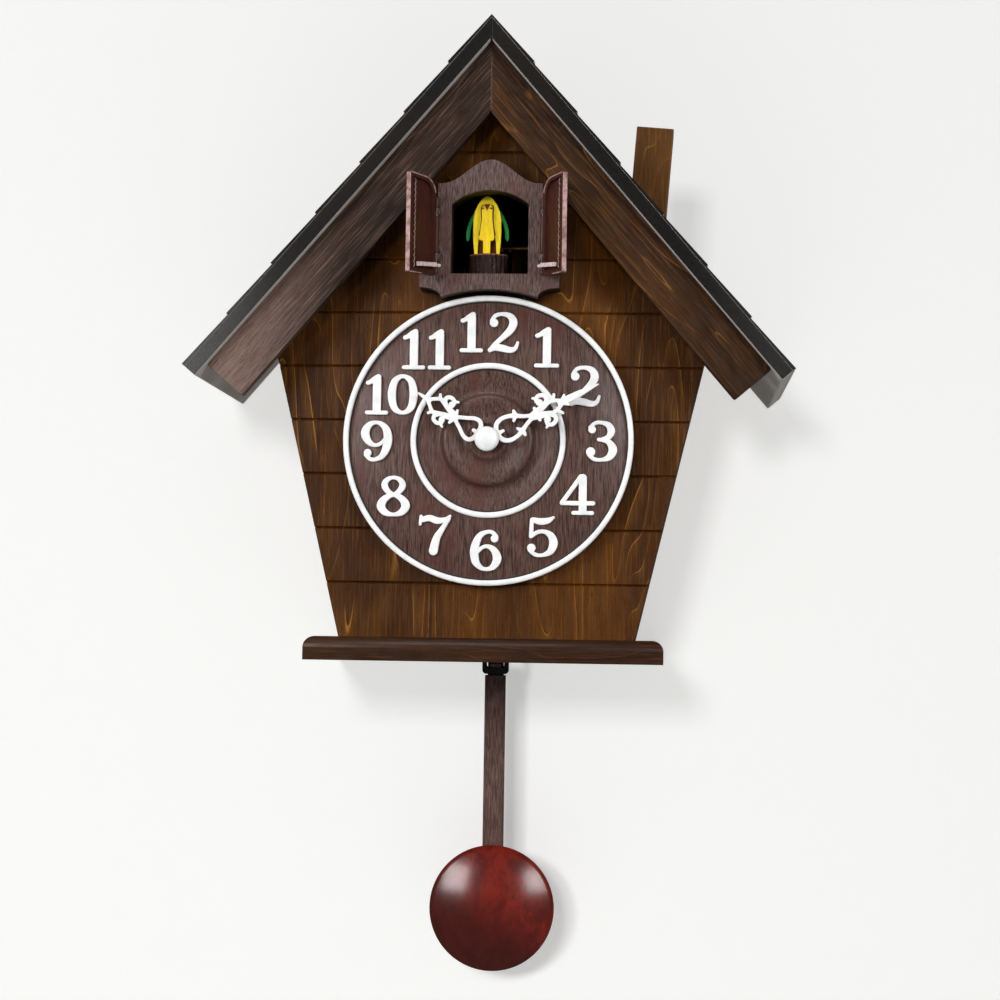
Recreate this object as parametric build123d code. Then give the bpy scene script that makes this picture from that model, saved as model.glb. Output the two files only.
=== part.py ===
from build123d import *
import math
import os

# Battery cuckoo clock with a free pendulum. Millimetres.
# X is to the right, Y goes into the wall and Z is up. The origin is the centre of the hanging hole,
# on the rear face of the back panel. The clock's face looks along -Y.

# ---- driving dimensions -------------------------------------------------------------------------
FACE = -122.0            # the front panel's face; the wall is at 0
DIAL = -150.0            # height of the hand axis
PANEL_T = 9.0            # front panel
SIDE_T = 8.0             # side boards
BACK_T = 5.0             # back panel
BOARD_PITCH = 29.8       # spacing of the grooves
BASE_TOP = DIAL - 108.0
BASE_T = 12.8
BASE_HALF = 96.7
BASE_FRONT = 26.0        # the base board stands this far in front of the panel
FOOT_HALF = 81.0         # the case's half width on the base board
TAPER = math.tan(math.radians(13.4))
RIDGE = DIAL + 232.0
ROOF_ANGLE = math.radians(49.5)
ROOF_LENGTH = 255.0      # ridge to eave, along the slope
ROOF_T = 9.6             # roof board and shingles
SHINGLE_T = 2.1
SHINGLE_STEP = 1.1
COURSES = 7
ROOF_FRONT = 28.0
BARGE_FRONT = 22.5
BARGE_T = 7.5
BARGE_DEPTH = 25.6       # width of a bargeboard, square to the slope
BARGE_LENGTH = 246.5
DIAL_R = 79.5
DIAL_T = 5.0
OUTER_RING = (76.5, 79.5)
INNER_RING = (39.4, 42.5)
NUMERAL_R = 60.3
NUMERAL_H = 22.6
NUDGE = {
    1: (1, -1), 3: (1.5, 0), 4: (-3, 1), 7: (2, 0), 8: (1, -1), 9: (-1, -1),
    10: (-0.5, -5.5), 11: (-4.5, -2.5), 12: (0, -1),
}                        # how far each numeral sits off the circle
WINDOW_HALF = 21.0
SILL = DIAL + 90.1
SPRINGING = DIAL + 128.3
LUG_Z = [(DIAL + 96.8, DIAL + 100.3), (DIAL + 121.5, DIAL + 125.0)]
ARCH_TOP = DIAL + 136.0
FRAME_T = 16.0
SHUTTER_W = 28.6
SHUTTER_T = 2.0
SHUTTER_OPEN = 115.0     # degrees from closed
HINGE_X = 29.0
HINGE_Y = FACE - FRAME_T - 3.0
BIRD_X = -2.6            # the bird stands a little left of the middle
BIRD_Y = FACE
BIRD_TRAVEL = 22.0
PENDULUM_Y = FACE + 87.0
PIVOT_Z = DIAL - 46.0
ROD_TOP = DIAL - 128.9
ROD_W = 12.0
BOB_R = 36.0
BOB_Z = DIAL - 263.0
RUNNING = 0.05           # radial clearance of a shaft in its hole
GAP = 0.3                # between other pieces that move past each other

INSIDE = FACE + PANEL_T
BACK = -BACK_T
TAN = math.tan(ROOF_ANGLE)
COS = math.cos(ROOF_ANGLE)
SIN = math.sin(ROOF_ANGLE)
RIDGE_UNDER = RIDGE - ROOF_T / COS


# ---- helpers ------------------------------------------------------------------------------------
def plate(sketch, front, back):
    """A sketch in X and Z, extruded from y = front to y = back."""
    return extrude(Plane.XZ.offset(-back) * sketch, amount=back - front)


def polygon(points):
    return make_face(Polyline(*points, close=True))


def mirrored(points):
    """The right half of an outline, from the bottom up, completed on the left."""
    return points + [(-x, z) for x, z in reversed(points) if x > 0]


def box(x0, x1, y0, y1, z0, z1):
    middle = ((x0 + x1) / 2, (y0 + y1) / 2, (z0 + z1) / 2)
    return Pos(*middle) * Box(x1 - x0, y1 - y0, z1 - z0)


def rod_y(x, z, radius, front, back):
    """A round bar along Y."""
    return Pos(x, (front + back) / 2, z) * Rot(90, 0, 0) * Cylinder(radius, back - front)


def rod_x(y, z, radius, left, right):
    return Pos((left + right) / 2, y, z) * Rot(0, 90, 0) * Cylinder(radius, right - left)


def rod_z(x, y, radius, low, high):
    return Pos(x, y, (low + high) / 2) * Cylinder(radius, high - low)


def half_width(z, inset=0.0):
    """Half the case's width at height z, less an inset square to the side."""
    return FOOT_HALF + (z - BASE_TOP) * TAPER - inset * math.sqrt(1 + TAPER * TAPER)


def eave_point(inset=0.0):
    """Where a side of the case, set in by an inset, meets the roof's underside."""
    foot = half_width(BASE_TOP, inset)
    z = (RIDGE_UNDER + TAN * TAPER * BASE_TOP - TAN * foot) / (1 + TAN * TAPER)
    return half_width(z, inset), z


def slope(side, along, inward):
    """A point on the roof: along the slope from the ridge, and inward from its outer face."""
    x = along * COS - inward * SIN
    return side * x, RIDGE - along * SIN - inward * COS


def stroke(points, width):
    """A bar of even width with round ends through a list of points."""
    shape = Pos(*points[0]) * Circle(width / 2)
    for (x0, z0), (x1, z1) in zip(points, points[1:]):
        turn = math.degrees(math.atan2(z1 - z0, x1 - x0))
        length = math.hypot(x1 - x0, z1 - z0)
        shape += Pos((x0 + x1) / 2, (z0 + z1) / 2) * Rot(0, 0, turn) * Rectangle(length, width)
        shape += Pos(x1, z1) * Circle(width / 2)
    return shape


def arc_points(cx, cz, rx, rz, start, end, count=9):
    turns = [math.radians(start + (end - start) * i / (count - 1)) for i in range(count)]
    return [(cx + rx * math.cos(t), cz + rz * math.sin(t)) for t in turns]


def gear_outline(teeth, module, turn=0.0):
    """Straight-sided teeth, cut thin so that a pair runs with play."""
    pitch = teeth * module / 2
    step = 2 * math.pi / teeth
    points = []
    for i in range(teeth):
        for radius, share in ((-1.0, -0.34), (0.8, -0.12), (0.8, 0.12), (-1.0, 0.34)):
            angle = turn + (i + share * 0.9) * step
            reach = pitch + radius * module
            points.append((reach * math.cos(angle), reach * math.sin(angle)))
    return polygon(points)


def save(name, shape):
    shape.label = name
    export_step(shape, os.path.join("parts", name + ".step"))


# ---- case ---------------------------------------------------------------------------------------
def front_panel():
    eave_x, eave_z = eave_point()
    outline = mirrored([(FOOT_HALF, BASE_TOP), (eave_x, eave_z), (0, RIDGE_UNDER)])
    panel = plate(polygon(outline), FACE, INSIDE)
    for board in range(1, 10):
        z = BASE_TOP + board * BOARD_PITCH
        groove = polygon([(FACE - 0.1, z - 0.8), (FACE + 1.5, z), (FACE - 0.1, z + 0.8)])
        panel -= extrude(Plane.YZ * groove, amount=140, both=True)
    window = box(-24.0, 24.0, FACE - 1, INSIDE + 1, SILL - 1.0, ARCH_TOP + 4.0)
    return panel - window - rod_y(0, DIAL, 4.3, FACE - 1, INSIDE + 1)


def side_board(side):
    outer = eave_point()
    inner = eave_point(SIDE_T)
    points = [(FOOT_HALF, BASE_TOP), outer, inner, (half_width(BASE_TOP, SIDE_T), BASE_TOP)]
    return plate(polygon([(side * x, z) for x, z in points]), INSIDE, 0)


DOOR_HALF = 54.8
DOOR_LOW = DIAL - 60.0
DOOR_HIGH = DIAL + 50.0
DOOR_AXIS = (-DOOR_HALF + BACK_T / 2 + GAP, BACK / 2)
SCREWS = [(-66, DIAL - 95), (66, DIAL - 95), (-86, DIAL), (86, DIAL), (-62, DIAL + 120), (62, DIAL + 120)]


def screw(x, z):
    """A countersunk wood screw whose head lies flush in the back panel."""
    head = Pos(x, -1.4, z) * Rot(90, 0, 0) * Cone(1.6, 3.4, 2.8)
    return mirror(head, Plane.XZ.offset(1.4)) + rod_y(x, z, 1.6, -18, -2.8)


def screws():
    return Compound(children=[screw(x, z) for x, z in SCREWS])


def rear_door_pins():
    x, y = DOOR_AXIS
    return [rod_z(x, y, 1.0, DOOR_LOW - 5, DOOR_LOW + 5), rod_z(x, y, 1.0, DOOR_HIGH - 5, DOOR_HIGH + 5)]


def back_panel():
    inner_x, inner_z = eave_point(SIDE_T)
    foot = half_width(BASE_TOP, SIDE_T)
    panel = plate(polygon(mirrored([(foot, BASE_TOP), (inner_x, inner_z), (0, RIDGE_UNDER)])), BACK, 0)
    panel -= box(-DOOR_HALF, DOOR_HALF, BACK - 1, 1, DOOR_LOW, DOOR_HIGH)
    panel -= rod_y(0, 0, 4.0, BACK - 1, 1)
    for x, z in SCREWS:
        panel -= screw(x, z)
    for pin in rear_door_pins():
        panel -= pin
    return panel


def rear_door():
    x, y = DOOR_AXIS
    low = DOOR_LOW + GAP
    high = DOOR_HIGH - GAP
    door = box(x, DOOR_HALF - GAP, BACK, 0, low, high) + rod_z(x, y, BACK_T / 2, low, high)
    finger_hole = rod_y(DOOR_HALF - 14, (low + high) / 2, 7.0, BACK - 1, 1)
    bores = rod_z(x, y, 1.0 + RUNNING, low - 1, low + 5) + rod_z(x, y, 1.0 + RUNNING, high - 5, high + 1)
    return door - finger_hole - bores


def base_board():
    board = box(-BASE_HALF, BASE_HALF, FACE - BASE_FRONT, 0, BASE_TOP - BASE_T, BASE_TOP)
    top = board.edges().filter_by(lambda e: abs(e.center().Z - BASE_TOP) < 0.01 and e.center().Y < -1)
    board = fillet(top, 6.0)
    board -= box(-18, 18, PENDULUM_Y - 7, PENDULUM_Y + 7, BASE_TOP - BASE_T - 1, BASE_TOP + 1)
    board -= box(SWITCH_X - 3.2, SWITCH_X + 9.2, SWITCH_Y - 2.3, SWITCH_Y + 2.3, BASE_TOP - 20, BASE_TOP + 1)
    for spot in [(0, 0)] + arc_points(0, 0, 10, 10, 0, 300, 6):
        board -= rod_z(SPEAKER_X + spot[0], SPEAKER_Y + spot[1], 2.5, BASE_TOP - 20, BASE_TOP + 1)
    return board


def roof_board(side):
    outer = [(SHINGLE_T * TAN, SHINGLE_T), (ROOF_LENGTH, SHINGLE_T)]
    corners = outer + [(ROOF_LENGTH, ROOF_T), (ROOF_T * TAN, ROOF_T)]
    return plate(polygon([slope(side, *c) for c in corners]), FACE - ROOF_FRONT, 0)


def shingles(side):
    """Seven courses, each thick at its lower edge, so that they step down the roof."""
    courses = []
    for course in range(COURSES):
        start = course * ROOF_LENGTH / COURSES
        end = start + ROOF_LENGTH / COURSES
        if course == 0:
            top = [(SHINGLE_T * TAN, SHINGLE_T), (SHINGLE_STEP * TAN, SHINGLE_STEP)]
        else:
            top = [(start, SHINGLE_T), (start, SHINGLE_STEP)]
        corners = top + [(end, 0), (end, SHINGLE_T)]
        courses.append(plate(polygon([slope(side, *c) for c in corners]), FACE - ROOF_FRONT, 0))
    return Compound(children=courses)


def bargeboard(side):
    low = ROOF_T + BARGE_DEPTH
    corners = [(ROOF_T * TAN, ROOF_T), (BARGE_LENGTH, ROOF_T), (BARGE_LENGTH, low), (low * TAN, low)]
    front = FACE - BARGE_FRONT
    return plate(polygon([slope(side, *c) for c in corners]), front, front + BARGE_T)


def chimney():
    lean = math.radians(4.3)
    top_left = (79.2, DIAL + 174.6)
    right = (math.cos(lean), -math.sin(lean))
    down = (-math.sin(lean), -math.cos(lean))
    top_right = (top_left[0] + 20.4 * right[0], top_left[1] + 20.4 * right[1])
    feet = [(x + 75 * down[0], z + 75 * down[1]) for x, z in (top_right, top_left)]
    stack = plate(polygon([top_left, top_right] + feet), FACE - 2, FACE + 20)
    below_roof = [slope(1, -40, 0), slope(1, 300, 0), slope(1, 300, 200), slope(1, -40, 200)]
    return stack - plate(polygon(below_roof), FACE - 40, 0)


def glue_blocks():
    """Corner blocks behind the front panel and in front of the back panel."""
    blocks = []
    for side in (-1, 1):
        for z in (BASE_TOP, DIAL - 7.0):
            edge = half_width(z, SIDE_T)
            upper = half_width(z + 18, SIDE_T)
            corners = [(edge, z), (upper, z + 18), (upper - 16, z + 18), (edge - 16, z)]
            points = [(side * x, height) for x, height in corners]
            blocks.append(plate(polygon(points), INSIDE, INSIDE + 14))
            blocks.append(plate(polygon(points), BACK - 16, BACK))
        deep = ROOF_T + 14.0
        corners = [slope(side, *c) for c in ((135, ROOF_T), (165, ROOF_T), (165, deep), (135, deep))]
        blocks.append(plate(polygon(corners), BACK - 16, BACK))
    drilled = []
    for block in blocks:
        for x, z in SCREWS:
            block -= screw(x, z)
        drilled.append(block)
    return Compound(children=drilled)


# ---- dial and hands -----------------------------------------------------------------------------
def dial_plate():
    """A dished plate: flat under the numerals, with a raised ring and middle inside the inner ring."""
    profile = [(0, -6.5), (8.5, -6.5), (12.5, -4.4), (19, -4.4), (25.7, -5.9), (31, -4.0), (38, -3.2)]
    edge = [(INNER_RING[0], -3.2), (INNER_RING[0], -DIAL_T), (DIAL_R, -DIAL_T), (DIAL_R, 0), (0, 0)]
    points = [(r, FACE + y) for r, y in profile + edge]
    face = make_face(Plane.XY * Polyline(*points, close=True))
    disc = revolve(face, Axis.Y)
    return Pos(0, 0, DIAL) * disc - rod_y(0, DIAL, 4.1, FACE - 8, FACE + 1)


def dial_rings():
    rings = []
    back = FACE - DIAL_T
    for (inner, outer), height in ((OUTER_RING, 2.5), (INNER_RING, 2.0)):
        rings.append(rod_y(0, DIAL, outer, back - height, back) - rod_y(0, DIAL, inner, back - 4, back + 1))
    return Compound(children=rings)


def digit(number):
    """A digit 1 high, standing on the line z = 0."""
    pen = 0.17
    if number == "0":
        return Pos(0, 0.5) * Ellipse(0.36, 0.5) - Pos(0, 0.5) * Ellipse(0.17, 0.36)
    if number == "1":
        foot = Pos(0, 0.06) * Rectangle(0.56, 0.12)
        return Pos(0, 0.5) * Rectangle(0.2, 1.0) + foot + Pos(-0.15, 0.86) * Rectangle(0.3, 0.11)
    if number == "2":
        bow = arc_points(0, 0.70, 0.25, 0.21, 165, -35)
        return stroke(bow + [(-0.26, 0.1)], pen) + stroke([(-0.26, 0.1), (0.28, 0.1)], pen)
    if number == "3":
        upper = arc_points(0, 0.71, 0.22, 0.19, 155, -90)
        lower = arc_points(0, 0.30, 0.27, 0.22, 90, -155)
        return stroke(upper, pen) + stroke(lower, pen)
    if number == "4":
        stem = Pos(0.12, 0.5) * Rectangle(0.2, 1.0) + Pos(0.12, 0.06) * Rectangle(0.5, 0.12)
        return stem + stroke([(0.12, 0.92), (-0.32, 0.3)], 0.12) + stroke([(-0.34, 0.3), (0.36, 0.3)], 0.12)
    if number == "5":
        bowl = arc_points(0, 0.32, 0.27, 0.24, 130, -150)
        flag = stroke([(-0.18, 0.9), (0.24, 0.9)], pen) + stroke([(-0.2, 0.9), (-0.22, 0.5)], 0.12)
        return flag + stroke(bowl, pen)
    if number in "69":
        loop = Pos(0, 0.31) * (Ellipse(0.36, 0.31) - Ellipse(0.17, 0.17))
        six = loop + stroke(arc_points(0.12, 0.46, 0.38, 0.46, 178, 62), 0.15)
        return six if number == "6" else Pos(0, 1) * Rot(0, 0, 180) * six
    if number == "7":
        leg = stroke([(0.28, 0.86), (0.02, 0.45), (-0.04, 0.08)], 0.19)
        return stroke([(-0.27, 0.9), (0.3, 0.9)], pen) + leg
    upper = Pos(0, 0.74) * (Ellipse(0.29, 0.26) - Ellipse(0.13, 0.13))
    return upper + Pos(0, 0.28) * (Ellipse(0.35, 0.28) - Ellipse(0.16, 0.15))


def numerals():
    figures = []
    for hour in range(1, 13):
        angle = math.radians(30 * hour)
        nudge = NUDGE.get(hour, (0, 0))
        x = NUMERAL_R * math.sin(angle) + nudge[0]
        z = NUMERAL_R * math.cos(angle) + nudge[1]
        text = str(hour)
        spread = 0.62
        for place, number in enumerate(text):
            shift = (place - (len(text) - 1) / 2) * spread * NUMERAL_H
            figure = scale(digit(number), NUMERAL_H)
            figure = Pos(x + shift, z - NUMERAL_H / 2 + DIAL) * figure
            figures.append(plate(figure, FACE - DIAL_T - 1.8, FACE - DIAL_T))
    return Compound(children=figures)


HAND_T = 1.2
HOUR_Y = FACE - 12.0
MINUTE_Y = FACE - 14.6
HOUR_ANGLE = 303.3       # degrees clockwise from 12
MINUTE_ANGLE = 63.2
BUSH_FRONT = FACE - 9.5


def hand(length, heart, scroll, angle, front, bore):
    """A pierced hand along Z: heart-shaped loop, scrolls and a pointed tip, then turned to its hour."""
    bar = 1.8
    shape = Circle(5.4)
    loop_start, loop_end, loop_half = heart
    middle = (loop_start + loop_end) / 2
    reach = (loop_end - loop_start) / 2
    for side in (-1, 1):
        outline = []
        for i in range(11):
            t = i / 10
            across = side * loop_half * math.sin(math.pi * t) ** 0.8
            outline.append((across, loop_start + 2 * reach * t ** 1.2))
        shape += stroke(outline, bar)
        middle_x = side * scroll[1] * 0.55
        curl = arc_points(middle_x, scroll[0], scroll[1] * 0.45, 3.0, 90 - side * 90, 90 + side * 150, 8)
        shape += stroke(curl, 1.5)
    barb = scroll[0] + 8.0
    shape += polygon([(-1.3, middle + reach), (1.3, middle + reach), (2.2, barb), (0, length), (-2.2, barb)])
    shape += stroke([(0, 3), (0, loop_start + 4)], 2.2)
    blade = plate(shape, 0, HAND_T)
    blade = Rot(0, angle, 0) * blade
    return Pos(0, front, DIAL) * blade - rod_y(0, DIAL, bore, front - 1, front + HAND_T + 1)


def hour_hand():
    return hand(46.0, (7.0, 20.5, 6.4), (28.0, 8.0), HOUR_ANGLE, HOUR_Y, 2.55)


def minute_hand():
    return hand(67.8, (6.6, 27.5, 6.8), (35.0, 8.7), MINUTE_ANGLE, MINUTE_Y, 1.5)


CAP_BALL = 8.2           # radius of the ball that the cap is cut from
CAP_T = 3.5


def hand_cap():
    """A domed cap on the end of the minute arbor."""
    ball = Sphere(CAP_BALL) & Pos(0, 0, CAP_BALL) * Box(20, 20, 2 * CAP_T)
    cap = Pos(0, MINUTE_Y + CAP_BALL - CAP_T, DIAL) * Rot(90, 0, 0) * ball
    return cap - rod_y(0, DIAL, 1.5, MINUTE_Y - 2.0, MINUTE_Y + 4)


# ---- movement -----------------------------------------------------------------------------------
MOVE_FRONT = INSIDE
MOVE_HALF = 28.0
MOVE_SPLIT = MOVE_FRONT + 8.0
MOVE_BACK = MOVE_FRONT + 16.0
WALL = 1.5
WORK_Z = DIAL - 12.0     # axis of the motion work
HOUR_LAYER = (MOVE_FRONT + 2.3, MOVE_FRONT + 3.8)
MINUTE_LAYER = (MOVE_FRONT + 4.3, MOVE_FRONT + 6.3)
UP = math.pi / 2


def movement_front_shell():
    shell = box(-MOVE_HALF, MOVE_HALF, MOVE_FRONT, MOVE_SPLIT, DIAL - MOVE_HALF, DIAL + MOVE_HALF)
    inner = MOVE_HALF - WALL
    shell -= box(-inner, inner, MOVE_FRONT + WALL, MOVE_SPLIT + 1, DIAL - inner, DIAL + inner)
    return shell - rod_y(0, DIAL, 4.0, MOVE_FRONT - 1, MOVE_FRONT + WALL + 1)


def movement_rear_shell():
    shell = box(-MOVE_HALF, MOVE_HALF, MOVE_SPLIT, MOVE_BACK, DIAL - MOVE_HALF, DIAL + MOVE_HALF)
    inner = MOVE_HALF - WALL
    shell -= box(-inner, inner, MOVE_SPLIT - 1, MOVE_BACK - WALL, DIAL - inner, DIAL + inner)
    return shell - rod_y(0, WORK_Z, 1.0 + RUNNING, MOVE_BACK - 3, MOVE_BACK + 1)


def movement_bush():
    bush = rod_y(0, DIAL, 4.0, BUSH_FRONT, MOVE_FRONT + WALL)
    bush += rod_y(0, DIAL, 6.0, MOVE_FRONT + WALL, MOVE_FRONT + 2.0)
    return bush - rod_y(0, DIAL, 2.55 + RUNNING, BUSH_FRONT - 1, MOVE_FRONT + 3)


def hand_nut():
    nut = plate(Pos(0, DIAL) * RegularPolygon(6.2, 6), FACE - 8.7, FACE - 6.5)
    return nut - rod_y(0, DIAL, 4.0, FACE - 9, FACE - 6)


def minute_arbor():
    """The arbor with its pinion of twelve teeth."""
    pinion = Pos(0, DIAL) * gear_outline(12, 0.5, UP)
    return rod_y(0, DIAL, 1.5, MINUTE_Y - 2.0, MOVE_FRONT + 12) + plate(pinion, *MINUTE_LAYER)


def motion_wheel():
    """A wheel of 36 teeth driven by the arbor, with a pinion of ten that drives the hour wheel."""
    wheel = Pos(0, WORK_Z) * gear_outline(36, 0.5, UP + math.pi / 36)
    pinion = Pos(0, WORK_Z) * gear_outline(10, 0.48, UP)
    shape = plate(wheel, *MINUTE_LAYER) + plate(pinion, HOUR_LAYER[0] - 0.1, MINUTE_LAYER[0])
    return shape + rod_y(0, WORK_Z, 1.0, MINUTE_LAYER[1], MOVE_BACK + 1.5)


def hour_wheel():
    """A wheel of 40 teeth on the tube that carries the hour hand."""
    wheel = Pos(0, DIAL) * gear_outline(40, 0.48, UP + math.pi / 40)
    shape = plate(wheel, *HOUR_LAYER) + rod_y(0, DIAL, 2.55, HOUR_Y, HOUR_LAYER[0])
    return shape - rod_y(0, DIAL, 1.5 + RUNNING, HOUR_Y - 1, MOVE_FRONT + 9)


def setting_knob():
    knob = rod_y(0, WORK_Z, 7.0, MOVE_BACK + 1.5, MOVE_BACK + 7)
    for x, z in arc_points(0, WORK_Z, 7.6, 7.6, 0, 345, 24):
        knob -= rod_y(x, z, 1.0, MOVE_BACK, MOVE_BACK + 8)
    return knob


def stepper_coil():
    y = MOVE_SPLIT
    coil = rod_z(-20, y, 4.0, DIAL - 11, DIAL + 15)
    for z in (DIAL - 12, DIAL + 15):
        coil += box(-24.6, -15.4, y - 4.6, y + 4.6, z, z + 1)
    return coil


# ---- power and sound ----------------------------------------------------------------------------
CELL_X = 49.0
CELL_Y = INSIDE + 15.3
CELL_R = 13.1
CELL_LENGTH = 50.0
SWITCH_X = 42.0
SWITCH_Y = FACE + 40.0
SPEAKER_X = -40.0
SPEAKER_Y = FACE + 40.0


def battery_tray():
    tray = box(CELL_X - 15.5, CELL_X + 15.5, INSIDE, INSIDE + 26, DIAL - 54, DIAL + 54)
    tray -= box(CELL_X - 13.4, CELL_X + 13.4, INSIDE + 2, INSIDE + 27, DIAL - 52, DIAL + 52)
    return tray


def batteries():
    cells = []
    for foot in (-CELL_LENGTH, 0):
        low = DIAL + foot
        nub = rod_z(CELL_X, CELL_Y, 3.2, low + CELL_LENGTH - 1.6, low + CELL_LENGTH)
        cells.append(rod_z(CELL_X, CELL_Y, CELL_R, low, low + CELL_LENGTH - 1.6) + nub)
    return Compound(children=cells)


def battery_contacts():
    low = box(CELL_X - 8, CELL_X + 8, CELL_Y - 8, CELL_Y + 8, DIAL - 52, DIAL - 51.4)
    spring = rod_z(CELL_X, CELL_Y, 5.0, DIAL - 51.4, DIAL - 50)
    spring -= rod_z(CELL_X, CELL_Y, 3.6, DIAL - 51.4, DIAL - 50)
    high = box(CELL_X - 8, CELL_X + 8, CELL_Y - 8, CELL_Y + 8, DIAL + 51.4, DIAL + 52)
    button = rod_z(CELL_X, CELL_Y, 3.0, DIAL + 50, DIAL + 51.4)
    return Compound(children=[low + spring, high + button])


def circuit_board():
    """The board on its four posts, with a chip, two capacitors and small parts."""
    face = INSIDE + 4.6
    board = box(-79, -35, INSIDE + 3, face, DIAL - 30, DIAL + 30)
    spots = [(x, z) for x in (-75, -39) for z in (DIAL - 26, DIAL + 26)]
    posts = [rod_y(x, z, 2.0, INSIDE, INSIDE + 3) for x, z in spots]
    chip = box(-66, -54, face, face + 2, DIAL - 6, DIAL + 10)
    cans = [rod_y(-72, DIAL + z, 3.2, face, face + 8) for z in (-18, -9)]
    small = [box(-50, -46, face, face + 1.2, DIAL + z, DIAL + z + 2) for z in (-20, -12, -4, 4, 12)]
    return Compound(children=[board, chip] + posts + cans + small)


def speaker():
    """A shallow basket that faces down on the base board, with its magnet on top."""
    profile = [(0, 1.5), (9, 1.5), (20, 0), (24, 0), (24, 2), (21, 2.6), (12, 9), (0, 9)]
    face = make_face(Plane.XZ * Polyline(*profile, close=True))
    basket = Pos(SPEAKER_X, SPEAKER_Y, BASE_TOP) * revolve(face, Axis.Z)
    magnet = rod_z(SPEAKER_X, SPEAKER_Y, 11.0, BASE_TOP + 9, BASE_TOP + 15)
    return Compound(children=[basket, magnet])


def switch_body():
    body = box(SWITCH_X - 6, SWITCH_X + 12, SWITCH_Y - 4, SWITCH_Y + 4, BASE_TOP, BASE_TOP + 7)
    slot = box(SWITCH_X - 3.2, SWITCH_X + 9.2, SWITCH_Y - 2.3, SWITCH_Y + 2.3, BASE_TOP - 1, BASE_TOP + 4)
    return body - slot


def switch_knob():
    low = BASE_TOP - BASE_T
    knob = box(SWITCH_X - 2.9, SWITCH_X + 2.9, SWITCH_Y - 2, SWITCH_Y + 2, low + 0.4, BASE_TOP + 3.7)
    for step in (-1.6, 0, 1.6):
        groove = SWITCH_X + step
        knob -= box(groove - 0.3, groove + 0.3, SWITCH_Y - 3, SWITCH_Y + 3, low, low + 1)
    return knob


# ---- bird and its mechanism ---------------------------------------------------------------------
LOG_TOP = DIAL + 103.3
WING_PIN_Z = LOG_TOP + 23.5
WING_PIN_X = 6.0
PLATE_LOW = DIAL + 87.3
PINION_Y = FACE + 44.0
PINION_Z = DIAL + 99.0
PINION_TEETH = 12
RACK_X = (-16.0, -12.0)
CARRIAGE_X = (-19.0, 13.0)


def mechanism_base():
    """A plate behind the window with two lipped guides for the carriage."""
    left, right = CARRIAGE_X
    low = DIAL + 84.0
    base = box(left - 14, right + 8, INSIDE, FACE + 84, low, low + 3)
    for inner, outer in ((left - GAP, left - 2.5), (right + GAP, right + 2.5)):
        lip = inner + (1.8 if inner < 0 else -1.8)
        base += box(min(inner, outer), max(inner, outer), INSIDE, FACE + 84, low + 3, low + 7.6)
        base += box(min(lip, outer), max(lip, outer), INSIDE, FACE + 84, low + 6.2, low + 7.6)
    base += box(left - 14, left - 2.5, PINION_Y - 9, PINION_Y + 9, low + 3, PINION_Z - 6)
    return base - rod_x(PINION_Y, PINION_Z, 8.0, -46, left + 2)


def carriage():
    """The sliding plate with its rack and the riser that carries the perch."""
    left, right = CARRIAGE_X
    plate_top = PLATE_LOW + 2.6
    slide = box(left, right, INSIDE + GAP, FACE + 56, PLATE_LOW, plate_top)
    pitch = math.pi
    rack = [(FACE + 14, plate_top), (FACE + 14, PINION_Z - 7.0)]
    for tooth in range(-9, 3):
        y = PINION_Y + tooth * pitch
        root = PINION_Z - 7.0
        tip = PINION_Z - 5.2
        rack += [(y - 1.07, root), (y - 0.38, tip), (y + 0.38, tip), (y + 1.07, root)]
    rack += [(FACE + 54, PINION_Z - 7.0), (FACE + 54, plate_top)]
    slide += Pos(RACK_X[0], 0, 0) * extrude(Plane.YZ * polygon(rack), amount=RACK_X[1] - RACK_X[0])
    slide += box(BIRD_X - 5, BIRD_X + 5, INSIDE + GAP, INSIDE + 4, plate_top, DIAL + 101)
    slide += box(BIRD_X - 3, BIRD_X + 3, BIRD_Y + 4, INSIDE + GAP, DIAL + 93, DIAL + 99)
    return slide - rod_x(FACE + 20, DIAL + 96, 1.2, 0, 60) - rod_x(FACE + 20, DIAL + 110.1, 1.2, 0, 60)


def push_rod():
    """The brass cross rod that the carriage carries behind the bird, on two short posts."""
    y = FACE + 20
    rod = rod_x(y, DIAL + 110.1, 1.15, BIRD_X + 5, 33)
    for x in (BIRD_X + 7, 9):
        rod += rod_z(x, y, 1.0, PLATE_LOW + 2.6, DIAL + 110.1)
    return rod


def bird_motor():
    return rod_x(PINION_Y, PINION_Z, 8.0, -46, -17.5) + rod_x(PINION_Y, PINION_Z, 3.0, -17.5, -17.0)


def drive_pinion():
    outline = gear_outline(PINION_TEETH, 1.0, -UP + math.pi / PINION_TEETH)
    gear = extrude(Plane.YZ * Pos(PINION_Y, PINION_Z) * outline, amount=RACK_X[1] - RACK_X[0])
    hub = rod_x(PINION_Y, PINION_Z, 2.0, -16.7, RACK_X[0] + 1)
    return Pos(RACK_X[0], 0, 0) * gear + hub


def perch_log():
    """A short log with bark ridges, flat at the back."""
    bark = []
    for i in range(25):
        turn = math.radians(180 + 180 * i / 24)
        reach = 10.4 + 0.5 * (i % 2)
        bark.append((BIRD_X + 0.9 + reach * math.cos(turn), BIRD_Y + 3.6 + 0.72 * reach * math.sin(turn)))
    outline = make_face(Polyline(*bark, close=True))
    return Pos(0, 0, SILL + 0.6) * extrude(outline, amount=LOG_TOP - SILL - 0.6)


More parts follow.
